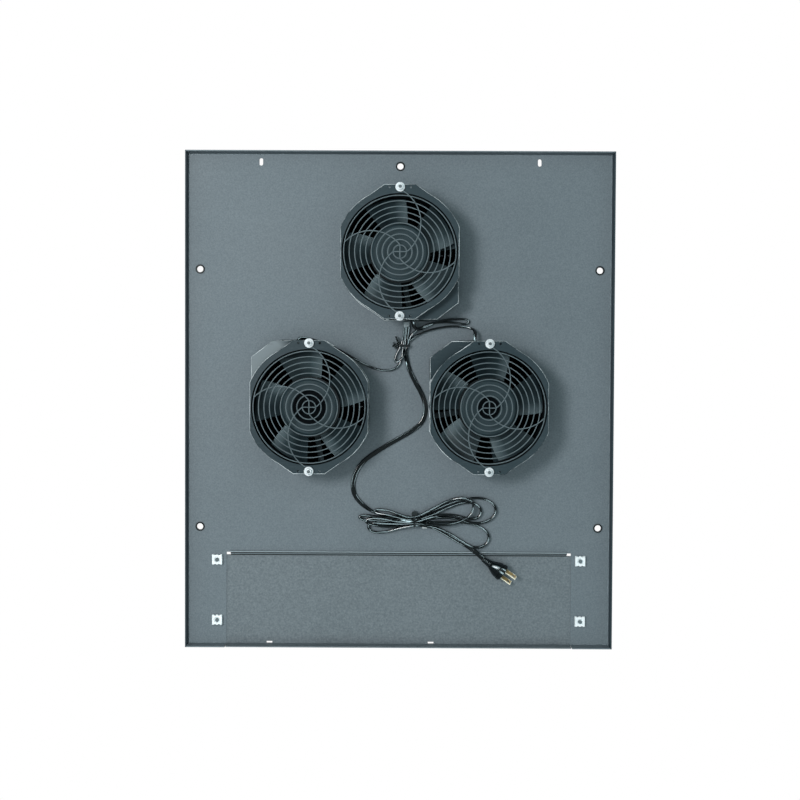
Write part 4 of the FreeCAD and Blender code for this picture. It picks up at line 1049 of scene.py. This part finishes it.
def cages():
    """The four spring cages that hold the cover's nuts, in one piece per kind."""
    low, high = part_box("cover_nut_cages")
    shoulder = high.z - CAGE_EASE
    rings = [(None, 0, low.z), (None, 0, shoulder), (None, CAGE_EASE, high.z),
             (CAGE_WINDOW + CAGE_EASE, 0, high.z), (CAGE_WINDOW, 0, shoulder),
             (CAGE_WINDOW, 0, low.z)]
    form = bmesh.new()
    for x in (low.x + CAGE_INSET, high.x - CAGE_INSET):
        for y in (low.y + CAGE_INSET, high.y - CAGE_INSET):
            middle = Vector((x, y, 0))
            loft(form, [cage_ring(*ring, middle) for ring in rings], closed=True)
    piece = from_bmesh("cover_nut_cages_finished", form, 30)
    settle(piece, "tray", "cage", "spring_steel", "cover_nut_cages")


PLUG_LEAN, PLUG_ROLL = math.radians(-35), math.radians(38)
PLUG_ALONG = Vector((math.cos(PLUG_LEAN), math.sin(PLUG_LEAN), 0))
PLUG_SIDE = Vector((-PLUG_ALONG.y, PLUG_ALONG.x, 0))
PLUG_ACROSS = PLUG_SIDE * math.cos(PLUG_ROLL) + Vector((0, 0, math.sin(PLUG_ROLL)))
PLUG_UP = PLUG_ALONG.cross(PLUG_ACROSS)
PLUG_START = Vector((0.1198, -0.2132, 0.0122))
RELIEF_LENGTH, RELIEF_RIBS, RIB_STEPS = 0.012, 5, 8
RELIEF_HALF, RELIEF_GAIN, RIB_SHARE = 0.0030, 0.0013, 0.24
BODY_SECTIONS = [(0, 5.0, 4.7), (0.8, 5.7, 5.4), (4, 7.2, 6.4), (8, 9.4, 7.6), (12.5, 11.1, 8.5),
                 (13.2, 11.2, 8.6), (13.6, 10.2, 7.7), (14.4, 10.2, 7.7), (14.8, 11.7, 8.9),
                 (19.2, 11.8, 9.0), (20, 10.9, 8.2)]
PIN_PITCH, PIN_HALF, PIN_GAUGE, PIN_HOLE = 0.0127, 0.0033, 0.0015, 0.0019
PIN_ROOT, PIN_TIP, PIN_HOLE_PAST, PIN_FRAME = 0.018, 0.0365, 0.0042, 0.0010
PIN_SIDES, PIN_RINGS, GILT_RINGS, PIN_EASE = 64, 8, (2, 3, 4), 0.0002


def oval(middle, across, up, half_wide, half_high, power=2.4, count=32):
    """A rounded oblong ring in the plane of two directions."""
    corners = []
    for c, s in directions(count):
        corners.append(middle + across * math.copysign(abs(c) ** (2 / power), c) * half_wide
                       + up * math.copysign(abs(s) ** (2 / power), s) * half_high)
    return corners


def strain_relief():
    """The ribbed sleeve behind the plug, tapering to the cord."""
    steps = RELIEF_RIBS * RIB_STEPS
    rings = []
    for index in range(steps + 1):
        share = index / steps
        rib = 0.5 - 0.5 * math.cos(math.tau * RELIEF_RIBS * share)
        half = (RELIEF_HALF + RELIEF_GAIN * share) * (1 + RIB_SHARE * rib)
        middle = PLUG_START + PLUG_ALONG * (share - 1) * RELIEF_LENGTH
        rings.append(oval(middle, PLUG_ACROSS, PLUG_UP, half, half * 0.9))
    form = bmesh.new()
    loft(form, rings)
    settle(from_bmesh("plug_strain_relief_ribbed", form, 60), "tray", "moulding",
           "black_plastic", "plug_strain_relief")


def plug_body():
    """The moulded body, rolled on its side, with a groove behind its face."""
    form = bmesh.new()
    loft(form, [oval(PLUG_START + PLUG_ALONG * along * MM, PLUG_ACROSS, PLUG_UP,
                     wide * MM, high * MM) for along, wide, high in BODY_SECTIONS])
    settle(from_bmesh("plug_body_moulded", form, 40), "tray", "moulding", "black_plastic",
           "plug_body")


def pin_ring(middle, side, shrink, past):
    """A ring of a blade's form: its outline, or its hole when past is given."""
    corners = []
    for along, up in directions(PIN_SIDES):
        if past:
            reach = PIN_HOLE
        else:
            ahead = PIN_HOLE_PAST if along > 0 else PIN_TIP - PIN_ROOT - PIN_HOLE_PAST
            reach = min(ahead / max(abs(along), 1e-9), PIN_HALF / max(abs(up), 1e-9))
            reach -= shrink
        corners.append(middle + PLUG_ALONG * reach * along + PLUG_UP * reach * up
                       + PLUG_ACROSS * side)
    return corners


def plug_blades():
    """Two flat blades, each with a hole near its tip; their rims and edges are brass paled as a
    painted highlight, the middles of their faces and the holes gilt.
    """
    form = bmesh.new()
    half = PIN_GAUGE / 2
    rings = [(half - PIN_EASE, 0, False), (half, PIN_EASE, False), (half, PIN_FRAME, False),
             (half, 0, True), (-half, 0, True), (-half, PIN_FRAME, False),
             (-half, PIN_EASE, False), (PIN_EASE - half, 0, False)]
    for sign in (-1, 1):
        middle = (PLUG_START + PLUG_ALONG * (PIN_TIP - PIN_HOLE_PAST)
                  + PLUG_ACROSS * sign * PIN_PITCH / 2)
        loft(form, [pin_ring(middle, *ring) for ring in rings], closed=True)
    piece = settle(from_bmesh("plug_blades_pressed", form, 30), "tray", "brass", "brass",
                   "plug_blades")
    piece.data.materials.append(FINISHES["gilt"])
    for face in piece.data.polygons:
        if face.index // PIN_SIDES % PIN_RINGS in GILT_RINGS:
            face.material_index = 1


STRAND_SIDES, TIE_STRAND, TIE_TWIST = 8, 0.0008, 0.75


def strand(form, path, radius, twist, phase):
    """A thin wire wound round a line of points."""
    rings = []
    for index, point in enumerate(path):
        before, after = path[max(index - 1, 0)], path[min(index + 1, len(path) - 1)]
        along = (after - before).normalized()
        side = along.cross(Vector((0, 0, 1))).normalized()
        up = side.cross(along)
        turn = phase + twist * index
        middle = point + (side * math.cos(turn) + up * math.sin(turn)) * radius
        rings.append([middle + (side * c + up * s) * radius for c, s in directions(STRAND_SIDES)])
    loft(form, rings)


TIE_ENDS = [[(1.5, 71.5, 9), (-2.5, 73.5, 10), (-5.5, 71.5, 10.5), (-9.5, 70.5, 10)],
            [(1.5, 72, 8.5), (-1.5, 75.5, 10), (-3.6, 79.5, 10.6), (-5.0, 83.5, 9.5)],
            [(0.5, 72, 8), (-3.5, 70.5, 8.6), (-4.6, 67.5, 8.2), (-8.0, 75.5, 8.8)]]


def twisted_ends():
    """The strap's wire ends, twisted together and bent aside."""
    form = bmesh.new()
    for corners in TIE_ENDS:
        points = [Vector(corner) * MM for corner in corners]
        path = []
        for first, second in zip(points, points[1:]):
            path += [first.lerp(second, step / 8) for step in range(8)]
        path.append(points[-1])
        for phase in (0.0, math.pi):
            strand(form, path, TIE_STRAND, TIE_TWIST, phase)
    piece = from_bmesh("bundle_tie_ends", form, 60)
    settle(piece, "tray", "strap", "black_plastic")


cages()
strain_relief()
plug_body()
plug_blades()
twisted_ends()
for name, width, finish, record_slot in (
        ("hank_tie", 0.0004, "strap", "black_plastic"),
        ("bundle_tie", 0.0003, "strap", "black_plastic"),
        ("hank_tie_tab", 0.0002, "white", "white_plastic"),
        ("lead_splice", 0.0010, "sleeve", "splice"),
        ("cover_screws", 0.0002, "screw", "zinc"),
        ("fan_screws", 0.0002, "screw", "zinc"),
        ("fixing_bushes", 0.0002, "bush", "black_plastic")):
    eased(name, width, finish, record_slot)
for fan in FANS:
    # The outline's broken edges carry worn paint with a painted highlight.
    casting = eased(f"fan_frame_{fan}", 0.0007, "casting", "casting", worn_and_highlight="worn_and_highlight",
                    outline_of=AXIS[fan])
    # Painted shade inside the casting's throat.
    paint_shade_round_axis(casting, AXIS[fan], THROAT_REACH, upright=True)
    eased(f"rotor_cup_{fan}", 0.0008, "rotor", "rotor")
    eased(f"lead_plug_{fan}", 0.0005, "moulding", "black_plastic")


# ---- the rest, as the frame has it

NODE_FINISH = {"fan_panel": "tray", "cable_cover_plate": "cover", "cover_nuts": "zinc",
               "motor_bearings": "screw", "hub_disc_left": "disc", "hub_disc_right": "disc"}
for fan in FANS:
    NODE_FINISH.update({f"motor_core_{fan}": "core", f"motor_shaft_{fan}": "screw",
                        f"terminal_pins_{fan}": "brass"})
for name, finish in NODE_FINISH.items():
    paint(frame["nodes"][name], finish)
frame["nodes"]["fan_panel"].visible_shadow = False
